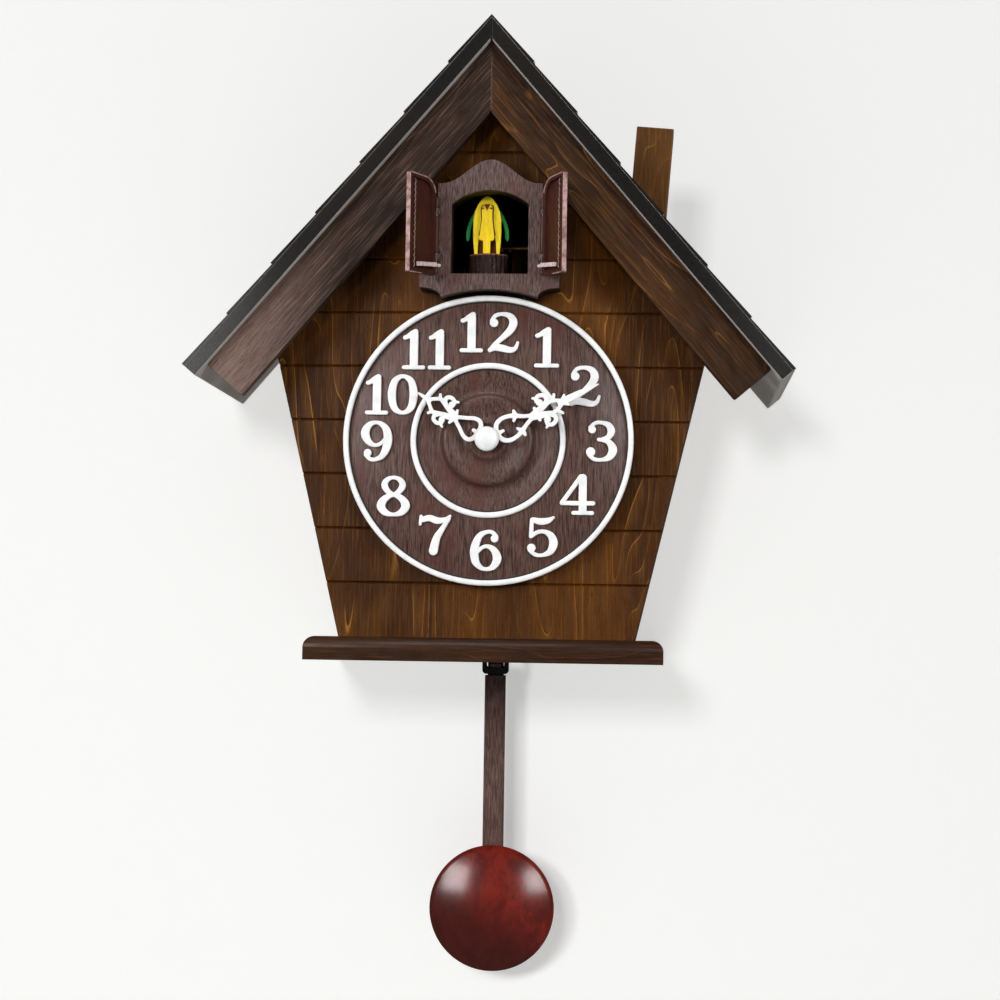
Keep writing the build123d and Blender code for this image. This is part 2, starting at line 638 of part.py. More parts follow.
def bird_body():
    """The pointed-oval back with two tails, in front view."""
    x = BIRD_X
    z = LOG_TOP
    half = [(0, 12), (3.4, 14), (4.9, 7), (5.3, 0), (6.9, 0), (7.5, 6), (7.7, 13), (7.6, 20)]
    half += [(6.8, 24), (5.2, 27.6), (3.0, 30.6), (1.4, 31.9), (0, 32.3)]
    right = [(x + dx, z + dz) for dx, dz in half]
    left = [(x - dx, z + dz) for dx, dz in reversed(half) if dx > 0]
    body = plate(polygon(right + left), BIRD_Y - 0.5, BIRD_Y + 3.0)
    for side in (-1, 1):
        body += rod_y(x + side * WING_PIN_X, WING_PIN_Z, 0.6, BIRD_Y + 2.0, BIRD_Y + 5.2)
    return body


def bird_breast():
    x = BIRD_X
    z = LOG_TOP
    head = [(-2.9, 26.4), (2.9, 26.4), (2.9, 19), (4.2, 8.6)]
    tail = [(3.8, 7.4), (2.0, 7.0), (2.0, 0), (-2.0, 0), (-2.0, 7.0), (-3.8, 7.4), (-4.2, 8.6), (-2.9, 19)]
    return plate(polygon([(x + dx, z + dz) for dx, dz in head + tail]), BIRD_Y - 3.4, BIRD_Y - 0.5)


def bird_face():
    z = LOG_TOP + 26.2
    outline = polygon([(BIRD_X - 1.6, z + 1.0), (BIRD_X + 1.6, z + 1.0), (BIRD_X, z - 2.4)])
    beak = plate(outline, BIRD_Y - 4.6, BIRD_Y - 3.4)
    eyes = [rod_y(BIRD_X + side * 2.4, z - 1.2, 0.55, BIRD_Y - 4.0, BIRD_Y - 3.4) for side in (-1, 1)]
    return Compound(children=[beak] + eyes)


def wing(side):
    root = (BIRD_X + side * WING_PIN_X, WING_PIN_Z)
    x, z = root
    outer = [(0.8, 1.5), (2.9, -1.5), (4.7, -5.5), (5.8, -10.0), (6.0, -14.0), (5.4, -15.6)]
    inner = [(4.3, -15.4), (3.7, -13.5), (3.4, -9.5), (2.5, -5.5), (-0.8, -1.5)]
    shape = polygon([(x + side * dx, z + dz) for dx, dz in outer + inner])
    shape += Pos(*root) * Circle(1.7)
    shape -= Pos(*root) * Circle(0.6 + RUNNING)
    return plate(shape, BIRD_Y + 3.2, BIRD_Y + 4.6)


# ---- window -------------------------------------------------------------------------------------
def window_opening(front, back):
    """Straight sides with a segmental arch on top."""
    rise = ARCH_TOP - SPRINGING
    radius = (WINDOW_HALF ** 2 + rise ** 2) / (2 * rise)
    arch = plate(Pos(0, ARCH_TOP - radius) * Circle(radius), front, back)
    tall = box(-WINDOW_HALF, WINDOW_HALF, front, back, SILL, ARCH_TOP + 1)
    below = box(-WINDOW_HALF, WINDOW_HALF, front, back, SILL, SPRINGING)
    return (arch & tall) + below


def window_frame():
    """An ogee top, straight stiles, and a ledge whose lower edge follows the dial."""
    stile = 28.7
    shoulder = DIAL + 139.9
    crest = 13.0
    top = []
    for i in range(17):
        x = stile * (1 - i / 16)
        top.append((x, shoulder + crest * math.cos(math.pi * min(x / 26.0, 1.0) / 2) ** 2))
    notch = arc_points(38.2, DIAL + 77.3, 11.7, 5.2, 180, 115, 6)
    right = notch + [(38.2, DIAL + 82.5), (38.2, DIAL + 89.2), (stile, DIAL + 89.2)] + top
    face = polygon(mirrored(right))
    frame = plate(face, FACE - FRAME_T, FACE)
    frame -= window_opening(FACE - FRAME_T - 1, FACE + 1)
    frame -= rod_y(0, DIAL, 81.6, FACE - FRAME_T - 1, FACE + 1)
    for lug in shutter_lugs():
        frame += lug
    return frame


def shutter_lugs():
    """The four small lugs on the frame that hold the hinge pins."""
    lugs = []
    for side in (-1, 1):
        for low, high in LUG_Z:
            x = side * HINGE_X
            root = x - side * 0.6
            block = box(root - 1.4, root + 1.4, HINGE_Y, FACE - FRAME_T + 1, low, high)
            block += rod_z(x, HINGE_Y, 1.3, low, high)
            lugs.append(block - rod_z(x, HINGE_Y, 0.6, low, high))
    return lugs


def shutter_pins():
    pins = []
    for side in (-1, 1):
        for low, high in LUG_Z:
            pins.append(rod_z(side * HINGE_X, HINGE_Y, 0.6, low - 1.0, high + 3))
    return pins


SHUTTER_LOW = DIAL + 86.2
SHUTTER_HIGH = DIAL + 140.6
SHUTTER_SIDE = DIAL + 132.2
SCALLOPS = 9
BAR_Z = DIAL + 94.0      # the closing bar
BAR_TILT = 7.0           # how far its free end hangs down, in degrees


def shutter_outline(inset=0.0):
    """The closed left shutter in front view: its upper hinge corner rounded, its bottom dipping."""
    near = 1.6 + inset
    far = SHUTTER_W - inset
    shoulder = 13.0
    rise = SHUTTER_HIGH - SHUTTER_SIDE
    quarter = arc_points(shoulder, SHUTTER_SIDE - inset, shoulder - near, rise, 90, 180)
    bottom = [(near, SHUTTER_LOW + 2.0 + inset), (far, SHUTTER_LOW + inset)]
    return bottom + [(far, SHUTTER_HIGH - inset)] + quarter


def placed_shutter(shape, side):
    """Turns a piece of the closed left shutter open, and mirrors it for the right side."""
    turned = Pos(-HINGE_X, HINGE_Y, 0) * Rot(0, 0, -SHUTTER_OPEN) * shape
    return turned if side < 0 else mirror(turned, Plane.YZ)


def shutter(side):
    """The leaf, with a rim round a scalloped recess in the face that looks inwards when closed."""
    leaf = plate(polygon(shutter_outline()), -SHUTTER_T, 0.6)
    leaf -= plate(polygon(shutter_outline(2.4)), -1.2, 0.7)
    pitch = (SHUTTER_SIDE - SHUTTER_LOW - 7.4) / SCALLOPS
    for i in range(SCALLOPS):
        scallop = rod_y(SHUTTER_W - 5.0, SHUTTER_LOW + 4.4 + pitch * (i + 0.5), pitch * 0.48, -1.2, -0.7)
        leaf += scallop
    leaf += rod_z(0, 0, 1.4, SHUTTER_LOW + 3, SHUTTER_SIDE - 1.0)
    leaf += box(0, 2.4, -1.4, 0.6, SHUTTER_LOW + 3, SHUTTER_SIDE - 1.0)
    leaf -= box(-3, 1.6, -3.4, 3, BAR_Z - 1.6, BAR_Z + 1.6)
    for low, high in LUG_Z:
        leaf -= box(-3, 2.6, -3.4, 3, low - GAP, high + GAP)
        leaf -= rod_z(0, 0, 0.6 + RUNNING, low - 3.4, high + 3.4)
    return placed_shutter(leaf, side)


def shutter_bar(side):
    """The closing bar on the inner face, with a knob at its hinge end."""
    bar = Pos(1.8, 0, BAR_Z) * Rot(0, BAR_TILT, 0) * box(0, 19.7, 0.6, 2.0, -1.1, 1.1)
    bar += rod_x(1.3, BAR_Z, 0.5, -1.0, 2.0)
    bar += rod_x(1.3, BAR_Z, 0.9, -1.8, -0.6)
    return placed_shutter(bar, side)


# ---- pendulum -----------------------------------------------------------------------------------
def cross_rail():
    z = DIAL - 42.0
    rail = box(-90, 90, FACE + 62, FACE + 74, z, z + 12)
    corners = [(half_width(height, SIDE_T), height) for height in (z, z + 12)]
    between = polygon([corners[0], corners[1], (-corners[1][0], z + 12), (-corners[0][0], z)])
    return rail & plate(between, FACE + 60, FACE + 76)


def drive_case():
    z = DIAL - 42.0
    return box(-16, 16, FACE + 60, FACE + 80, z - 28, z)


def pivot_pin():
    return rod_y(0, PIVOT_Z, 1.5, FACE + 80, PENDULUM_Y + 4)


def hanger():
    """A plate on the pivot that widens into a stirrup below the base board."""
    low = ROD_TOP + 0.6
    eye = Pos(0, PIVOT_Z) * Circle(5.0)
    plate_shape = eye + Pos(0, (PIVOT_Z + low + 33) / 2) * Rectangle(6.0, PIVOT_Z - low - 33)
    outer = Pos(0, low + 17.5) * RectangleRounded(15.4, 35, 2.5)
    inner = Pos(0, low + 18.2) * RectangleRounded(10.2, 28.6, 1.5)
    shape = plate_shape + outer - inner - Pos(0, PIVOT_Z) * Circle(1.5 + RUNNING)
    return plate(shape, PENDULUM_Y - 1.6, PENDULUM_Y + 1.6)


def drive_magnet():
    return rod_y(0, PIVOT_Z - 16, 5.0, FACE + 81.5, PENDULUM_Y - 1.6)


def pendulum_rod():
    """The rod with its raised border lines and the tongue that hooks over the stirrup."""
    low = BOB_Z - 20
    rod = box(-ROD_W / 2, ROD_W / 2, PENDULUM_Y - 1.6, PENDULUM_Y + 2.0, low, ROD_TOP)
    for side in (-1, 1):
        edge = side * (ROD_W / 2 - 1.0)
        rod += box(edge - 0.4, edge + 0.4, PENDULUM_Y - 2.0, PENDULUM_Y - 1.6, BOB_Z + BOB_R, ROD_TOP - 1.0)
    tongue = box(-4.6, 4.6, PENDULUM_Y + 1.6, PENDULUM_Y + 3.6, ROD_TOP - 6, ROD_TOP + 9)
    hook = box(-3.4, 3.4, PENDULUM_Y - 1.6, PENDULUM_Y + 3.6, ROD_TOP + 4.6, ROD_TOP + 6.6)
    return rod - box(-4.6, 4.6, PENDULUM_Y + 1.6, PENDULUM_Y + 3, ROD_TOP - 6, ROD_TOP + 1) + tongue + hook


def bob():
    """A shallow dome with a thin rim, in front of the rod."""
    rise = 9.0
    radius = (BOB_R ** 2 + rise ** 2) / (2 * rise)
    back = PENDULUM_Y - 1.6
    rim = rod_y(0, BOB_Z, BOB_R, back - 3.0, back)
    dome = Pos(0, back - 3.0 - rise + radius, BOB_Z) * Sphere(radius)
    cap = dome & box(-40, 40, back - 3.0 - rise - 1, back - 3.0, BOB_Z - 40, BOB_Z + 40)
    return rim + cap


# ---- write every piece --------------------------------------------------------------------------
os.makedirs("parts", exist_ok=True)
SIDES = (("left", -1), ("right", 1))

save("front_panel", front_panel())
save("back_panel", back_panel())
save("rear_door", rear_door())
save("back_panel_screws", screws())
save("base_board", base_board())
save("chimney", chimney())
save("corner_blocks", glue_blocks())
for word, side in SIDES:
    save(word + "_side_board", side_board(side))
    save(word + "_roof_board", roof_board(side))
    save(word + "_shingles", shingles(side))
    save(word + "_bargeboard", bargeboard(side))
    save(word + "_shutter", shutter(side))
    save(word + "_shutter_bar", shutter_bar(side))
    save(word + "_wing", wing(side))

save("dial_plate", dial_plate())
save("dial_rings", dial_rings())
save("dial_numerals", numerals())
save("hour_hand", hour_hand())
save("minute_hand", minute_hand())
save("hand_cap", hand_cap())

save("movement_front_shell", movement_front_shell())
save("movement_rear_shell", movement_rear_shell())
save("movement_bush", movement_bush())
save("dial_nut", hand_nut())
save("minute_arbor", minute_arbor())
save("motion_wheel", motion_wheel())
save("hour_wheel", hour_wheel())
save("setting_knob", setting_knob())
save("stepper_coil", stepper_coil())

save("battery_tray", battery_tray())
save("batteries", batteries())
save("battery_contacts", battery_contacts())
save("circuit_board", circuit_board())
save("speaker", speaker())
save("switch_body", switch_body())
save("switch_knob", switch_knob())

save("mechanism_base", mechanism_base())
save("bird_carriage", carriage())
save("push_rod", push_rod())
save("bird_motor", bird_motor())
save("drive_pinion", drive_pinion())
save("perch_log", perch_log())
save("bird_body", bird_body())
save("bird_breast", bird_breast())
save("bird_face", bird_face())

save("window_frame", window_frame())

save("hinge_pins", Compound(children=rear_door_pins() + shutter_pins() + [pivot_pin()]))
save("cross_rail", cross_rail())
save("pendulum_drive", drive_case())
save("pendulum_hanger", hanger())
save("drive_magnet", drive_magnet())
save("pendulum_rod", pendulum_rod())
save("pendulum_bob", bob())
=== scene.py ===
import math

import bpy
from mathutils import Matrix, Vector
from mathutils.geometry import delaunay_2d_cdt


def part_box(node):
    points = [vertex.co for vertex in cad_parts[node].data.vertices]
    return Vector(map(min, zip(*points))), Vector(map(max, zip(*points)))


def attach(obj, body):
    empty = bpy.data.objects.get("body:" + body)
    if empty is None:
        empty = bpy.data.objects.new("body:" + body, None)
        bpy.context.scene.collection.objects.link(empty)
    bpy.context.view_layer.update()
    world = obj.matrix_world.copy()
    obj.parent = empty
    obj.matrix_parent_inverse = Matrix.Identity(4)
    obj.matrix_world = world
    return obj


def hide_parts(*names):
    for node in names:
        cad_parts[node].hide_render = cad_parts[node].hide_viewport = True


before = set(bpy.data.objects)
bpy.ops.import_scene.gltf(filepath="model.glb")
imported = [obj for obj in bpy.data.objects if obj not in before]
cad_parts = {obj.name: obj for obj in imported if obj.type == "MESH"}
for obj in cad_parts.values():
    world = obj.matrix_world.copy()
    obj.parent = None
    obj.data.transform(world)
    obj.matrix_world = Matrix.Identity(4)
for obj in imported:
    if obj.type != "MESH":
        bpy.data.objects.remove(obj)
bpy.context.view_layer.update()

# Lengths are metres in the row frame: X to the right, Y into the wall, Z up.
# Outlines are drawn in millimetres.
MM = 0.001
DIAL_LOW, DIAL_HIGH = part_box("dial_plate")
DIAL_Z = (DIAL_LOW.z + DIAL_HIGH.z) / 2
FACE = -122.0 * MM            # the face of the front panel
FRAME_FRONT = -138.0 * MM     # the front of the window frame
BOB_DROP = 0.263              # from the dial's centre down to the bob's
ROD_UNDER = 0.1078            # over the dial's centre; below this height the rod's posts are black
LOG_RIM = 0.1022              # over the dial's centre; above this height the log is pale
ROOF_SLOPE = 49.5             # degrees
BOARD_TURN = math.radians(90 - ROOF_SLOPE)    # from upright to along the left side of the roof
HOUR_ANGLE = math.radians(303.3)
MINUTE_ANGLE = math.radians(63.2)


# ---- materials ----------------------------------------------------------------------------------
def srgb(red, green, blue):
    """A colour given as it looks on a screen, 0 to 255, as the shader's linear colour."""
    def linear(value):
        value /= 255
        return value / 12.92 if value <= 0.04045 else ((value + 0.055) / 1.055) ** 2.4
    return linear(red), linear(green), linear(blue), 1.0


class Shade:
    """A Principled material being built. Each call adds a node and returns its output socket."""

    def __init__(self, name, **constants):
        self.material = bpy.data.materials.new(name)
        self.material.use_nodes = True
        self.tree = self.material.node_tree
        self.shader = self.tree.nodes["Principled BSDF"]
        for key, value in constants.items():
            self.shader.inputs[key.replace("_", " ")].default_value = value
        self.place = self.tree.nodes.new("ShaderNodeTexCoord").outputs["Object"]

    def node(self, kind, settings=None):
        node = self.tree.nodes.new("ShaderNode" + kind)
        for key, value in (settings or {}).items():
            setattr(node, key, value)
        return node

    def feed(self, socket, value):
        if isinstance(value, bpy.types.NodeSocket):
            self.tree.links.new(value, socket)
        else:
            socket.default_value = value

    def grain(self, width, length, turn=0.0, lean=0.0, shift=0.0):
        """Object coordinates in units of a feature's width and length, with the length along local Z."""
        mapping = self.node("Mapping", {"vector_type": "TEXTURE"})
        self.feed(mapping.inputs["Vector"], self.place)
        mapping.inputs["Location"].default_value = (shift, shift, 0)
        mapping.inputs["Rotation"].default_value = (lean, turn, 0)
        mapping.inputs["Scale"].default_value = (width, width, length)
        return mapping.outputs[0]

    def noise(self, vector, detail=2.0, rough=0.5, distort=0.0):
        node = self.node("TexNoise")
        self.feed(node.inputs["Vector"], vector)
        node.inputs["Scale"].default_value = 1.0
        node.inputs["Detail"].default_value = detail
        node.inputs["Roughness"].default_value = rough
        node.inputs["Distortion"].default_value = distort
        return node.outputs[0]

    def cells(self, vector):
        node = self.node("TexVoronoi")
        self.feed(node.inputs["Vector"], vector)
        node.inputs["Scale"].default_value = 1.0
        return node.outputs["Distance"]

    def span(self, value, low, high, out_low=0.0, out_high=1.0):
        node = self.node("MapRange", {"interpolation_type": "SMOOTHSTEP"})
        for socket, number in zip(node.inputs, (value, low, high, out_low, out_high)):
            self.feed(socket, number)
        return node.outputs[0]

    def math(self, operation, first, second=0.0):
        node = self.node("Math", {"operation": operation})
        self.feed(node.inputs[0], first)
        self.feed(node.inputs[1], second)
        return node.outputs[0]

    def mix(self, factor, first, second):
        node = self.node("Mix", {"data_type": "RGBA"})
        self.feed(node.inputs[0], factor)
        self.feed(node.inputs[6], first)
        self.feed(node.inputs[7], second)
        return node.outputs[2]

    def bump(self, height, depth, base=None):
        node = self.node("Bump")
        node.inputs["Strength"].default_value = 1.0
        node.inputs["Distance"].default_value = depth
        self.feed(node.inputs["Height"], height)
        if base is not None:
            self.feed(node.inputs["Normal"], base)
        return node.outputs[0]

    def finish(self, colour=None, rough=None, normal=None):
        for socket, value in (("Base Color", colour), ("Roughness", rough), ("Normal", normal)):
            if value is not None:
                self.feed(self.shader.inputs[socket], value)
        return self.material


def stained_wood(name, dark, middle, golden, turn=0.0, figure=0.6, sheen=0.3, shift=0.0,
                 rough=(0.34, 0.52), streak=0.3, eave=None):
    """Stained, varnished wood: broad tone, veneer joints, thin wavy figure, fibres and pores, and painted light at
    an eave.
    """
    s = Shade(name, Coat_Weight=sheen, Coat_Roughness=0.3, Specular_IOR_Level=0.18)
    broad = s.noise(s.grain(0.035, 0.11, turn, 0.0, shift), 3.0, 0.55, 0.4)
    band = s.noise(s.grain(0.03, 3.0, turn, 0.0, shift + 0.4), 1.0)
    tone = s.math("ADD", s.math("MULTIPLY", broad, 0.6), s.math("MULTIPLY", band, 0.4))
    colour = s.mix(s.span(tone, 0.36, 0.66), dark, middle)
    rings = s.noise(s.grain(0.028, 0.16, turn, 0.0, shift + 0.9), 1.5, 0.4, 0.5)
    contour = s.math("FRACT", s.math("MULTIPLY", rings, 12.0))
    line = s.span(contour, 0.93, 0.985)
    soft = s.span(contour, 0.30, 0.95)
    patch = s.span(s.noise(s.grain(0.02, 0.05, turn, 0.0, shift + 1.7), 2.0), 0.40, 0.62)
    colour = s.mix(s.math("MULTIPLY", soft, s.math("MULTIPLY", patch, figure * 0.16)), colour, golden)
    colour = s.mix(s.math("MULTIPLY", line, s.math("MULTIPLY", patch, figure)), colour, golden)
    fibre = s.noise(s.grain(0.0006, 0.012, turn, 0.0, shift), 3.0, 0.6)
    colour = s.mix(s.span(fibre, 0.40, 0.62, 0.0, streak), colour, dark)
    streaks = s.noise(s.grain(0.0009, 0.03, turn, 0.0, shift + 2.1), 3.0, 0.65)
    colour = s.mix(s.span(streaks, 0.48, 0.70, 0.0, streak), colour, golden)
    # Painted light at the eave: a pale tone there paints a sheen, a dark tone paints shade.
    if eave is not None:
        side, painted_light_tone = eave
        where = s.node("SeparateXYZ")
        s.feed(where.inputs[0], s.place)
        reach = s.span(s.math("MULTIPLY", where.outputs["X"], side), 0.075, 0.15, 0.0, 0.6)
        colour = s.mix(s.math("MULTIPLY", reach, s.span(fibre, 0.35, 0.6, 0.5, 1.0)), colour, painted_light_tone)
    pore = s.noise(s.grain(0.00028, 0.0035, turn, 0.0, shift), 1.0)
    colour = s.mix(s.span(pore, 0.62, 0.72, 0.0, 0.6), colour, srgb(16, 9, 5))
    gloss = s.span(s.noise(s.grain(0.004, 0.01, turn, 0.0, shift), 2.0), 0.3, 0.7, rough[0], rough[1])
    normal = s.bump(fibre, 0.00006)
    normal = s.bump(pore, -0.00005, normal)
    return s.finish(colour, gloss, normal)


def satin_roof(name, dark, light, turn, side):
    """Nearly black stain, speckled; a painted grey sheen along the eave and painted light, a pale grey, on faces
    turned downwards.
    """
    s = Shade(name, Specular_IOR_Level=0.2)
    speckle = s.noise(s.grain(0.0007, 0.0012, turn), 3.0, 0.7)
    cloud = s.noise(s.grain(0.03, 0.08, turn), 3.0)
    grain = s.noise(s.grain(0.0006, 0.02, turn), 2.0)
    colour = s.mix(s.span(cloud, 0.35, 0.7), dark, light)
    colour = s.mix(s.span(grain, 0.5, 0.7, 0.0, 0.5), colour, srgb(8, 5, 4))
    where = s.node("SeparateXYZ")
    s.feed(where.inputs[0], s.place)
    across = s.math("MULTIPLY", where.outputs["X"], side)
    # Painted sheen: speckled pale grey along the eave, strong on the left roof and faint on the right.
    painted_eave_sheen = s.math("MULTIPLY", s.span(across, 0.10, 0.17), s.span(speckle, 0.3, 0.6, 0.5, 1.0))
    colour = s.mix(s.math("MULTIPLY", painted_eave_sheen, 0.62 if side < 0 else 0.15), colour, srgb(92, 91, 89))
    # Painted light: faces turned downwards go pale grey, standing in for light from below on the underside.
    facing = s.node("SeparateXYZ")
    s.feed(facing.inputs[0], s.node("NewGeometry").outputs["Normal"])
    painted_underside_light = s.span(s.math("MULTIPLY", facing.outputs["Z"], -1.0), 0.45, 0.6)
    colour = s.mix(s.math("MULTIPLY", painted_underside_light, s.span(speckle, 0.3, 0.7, 0.8, 1.0)), colour, srgb(196, 190, 186))
    rough = s.span(speckle, 0.3, 0.7, 0.36, 0.6)
    normal = s.bump(speckle, 0.00012, s.bump(grain, 0.00006))
    return s.finish(colour, rough, normal)


def grained_plastic(name, dark, light, warm, depth=0.00012, rough=(0.38, 0.55), length=0.009, shade_y=None):
    """Moulded plastic with an embossed vertical wood grain, greyer on its ridges and redder in patches."""
    s = Shade(name, Specular_IOR_Level=0.3)
    grain = s.noise(s.grain(0.0006, length), 3.0, 0.65, 0.4)
    fleck = s.noise(s.grain(0.00036, length * 0.25), 2.0, 0.6)
    cloud = s.noise(s.grain(0.011, 0.03), 3.0)
    colour = s.mix(s.span(grain, 0.30, 0.70), dark, light)
    colour = s.mix(s.span(cloud, 0.45, 0.72, 0.0, 0.7), colour, warm)
    colour = s.mix(s.span(fleck, 0.60, 0.72, 0.0, 0.6), colour, dark)
    # Painted shade: deeper in than the given depth the colour turns nearly black, for the shade inside the window's
    # reveal.
    if shade_y is not None:
        depth_in = s.node("SeparateXYZ")
        s.feed(depth_in.inputs[0], s.place)
        colour = s.mix(s.span(depth_in.outputs["Y"], shade_y, shade_y + 0.0025), colour, srgb(26, 14, 11))
    roughness = s.span(cloud, 0.3, 0.7, rough[0], rough[1])
    return s.finish(colour, roughness, s.bump(fleck, depth * 0.5, s.bump(grain, depth)))


def plain_plastic(name, colour, shade, rough=(0.3, 0.45), patch=0.006):
    """Moulded plastic: faint cloudy tone, a fine skin and a few scuffs."""
    s = Shade(name)
    cloud = s.noise(s.grain(patch, patch), 3.0)
    skin = s.noise(s.grain(0.0004, 0.0004), 2.0)
    scuff = s.noise(s.grain(0.0006, 0.006, 0.7, 0.3), 1.0)
    tint = s.mix(s.span(cloud, 0.4, 0.7), colour, shade)
    tint = s.mix(s.span(scuff, 0.68, 0.76, 0.0, 0.35), tint, shade)
    return s.finish(tint, s.span(cloud, 0.3, 0.7, rough[0], rough[1]), s.bump(skin, 0.00002))


def metal(name, colour, tarnish, brushed=0.0):
    s = Shade(name, Metallic=1.0)
    cloud = s.noise(s.grain(0.004, 0.004), 3.0)
    scratch = s.noise(s.grain(0.0003, 0.01, brushed), 2.0)
    tint = s.mix(s.span(cloud, 0.45, 0.75), colour, tarnish)
    return s.finish(tint, s.span(scratch, 0.3, 0.7, 0.22, 0.4), s.bump(scratch, 0.00001))


def rod_brass(name):
    """Brass above, blackened on the two posts below the rod."""
    s = Shade(name, Metallic=1.0)
    where = s.node("SeparateXYZ")
    s.feed(where.inputs[0], s.place)
    scratch = s.noise(s.grain(0.0003, 0.004, math.pi / 2), 2.0)
    post = s.span(where.outputs["Z"], DIAL_Z + ROD_UNDER, DIAL_Z + ROD_UNDER + 0.0008, 1.0, 0.0)
    colour = s.mix(s.span(scratch, 0.4, 0.6), srgb(214, 176, 92), srgb(160, 122, 58))
    colour = s.mix(post, colour, srgb(14, 12, 11))
    return s.finish(colour, s.span(scratch, 0.3, 0.7, 0.3, 0.5), s.bump(scratch, 0.00001))


def lacquer(name, bright, deep, brown):
    """The bob: thick red-brown lacquer over wood, mottled and a little orange-peeled, with painted shade towards the
    lower left.
    """
    s = Shade(name, Coat_Weight=1.0, Coat_Roughness=0.22, Specular_IOR_Level=0.1)
    cloud = s.noise(s.grain(0.012, 0.02), 4.0, 0.6, 0.6)
    mottle = s.noise(s.grain(0.0022, 0.004), 3.0)
    peel = s.noise(s.grain(0.0015, 0.0015), 1.0)
    colour = s.mix(s.span(cloud, 0.36, 0.66), bright, deep)
    colour = s.mix(s.span(mottle, 0.5, 0.75, 0.0, 0.4), colour, brown)
    # Painted shade: the colour turns brown towards the lower left of the bob.
    where = s.node("SeparateXYZ")
    s.feed(where.inputs[0], s.place)
    painted_shade_slope = s.math("ADD", where.outputs["Z"], s.math("MULTIPLY", where.outputs["X"], 0.7))
    painted_shade_slope = s.math("ADD", painted_shade_slope, s.math("MULTIPLY", cloud, 0.03))
    middle = DIAL_Z - BOB_DROP + 0.015
    colour = s.mix(s.span(painted_shade_slope, middle - 0.02, middle + 0.012, 0.75, 0.0), colour, brown)
    return s.finish(colour, s.span(mottle, 0.3, 0.7, 0.28, 0.4), s.bump(peel, 0.00004))


def bark(name):
    s = Shade(name, Specular_IOR_Level=0.2)
    ridge = s.cells(s.grain(0.0016, 0.009))
    rough = s.noise(s.grain(0.0007, 0.002), 4.0, 0.7)
    colour = s.mix(s.span(ridge, 0.1, 0.6), srgb(10, 5, 4), srgb(40, 20, 14))
    colour = s.mix(s.span(rough, 0.62, 0.72), colour, srgb(170, 128, 112))
    facing = s.node("SeparateXYZ")
    s.feed(facing.inputs[0], s.place)
    top = s.span(facing.outputs["Z"], DIAL_Z + LOG_RIM, DIAL_Z + LOG_RIM + 0.0008)
    colour = s.mix(s.math("MULTIPLY", top, s.span(rough, 0.4, 0.6, 0.4, 1.0)), colour, srgb(150, 96, 78))
    return s.finish(colour, 0.42, s.bump(ridge, 0.0006, s.bump(rough, 0.0002)))


def painted(name, colour, shade):
    """A small hand-painted plastic piece with brush tone and slight pooling."""
    s = Shade(name)
    brush = s.noise(s.grain(0.0009, 0.005), 3.0, 0.6)
    pool = s.noise(s.grain(0.003, 0.006), 2.0)
    tint = s.mix(s.span(brush, 0.4, 0.7, 0.0, 0.5), colour, shade)
    tint = s.mix(s.span(pool, 0.55, 0.75, 0.0, 0.5), tint, shade)
    return s.finish(tint, 0.4, s.bump(brush, 0.00003))


def printed_board(name):
    s = Shade(name)
    weave = s.cells(s.grain(0.0012, 0.0012))
    track = s.math("FRACT", s.math("MULTIPLY", s.noise(s.grain(0.006, 0.006), 0.0), 9.0))
    colour = s.mix(s.span(track, 0.6, 0.7), srgb(18, 70, 34), srgb(36, 104, 52))
    return s.finish(colour, 0.35, s.bump(weave, 0.00003, s.bump(track, 0.00005)))


def cell_wrap(name):
    """Batteries: a dark wrap with a copper-coloured shoulder near one end, and a faint crinkle."""
    s = Shade(name, Metallic=0.6)
    height = s.node("SeparateXYZ")
    s.feed(height.inputs[0], s.place)
    shoulder = s.span(height.outputs["Z"], DIAL_Z + 0.012, DIAL_Z + 0.0125)
    crinkle = s.noise(s.grain(0.003, 0.012), 2.0)
    colour = s.mix(shoulder, srgb(28, 28, 30), srgb(176, 108, 58))
    return s.finish(colour, s.span(crinkle, 0.3, 0.7, 0.25, 0.4), s.bump(crinkle, 0.00005))


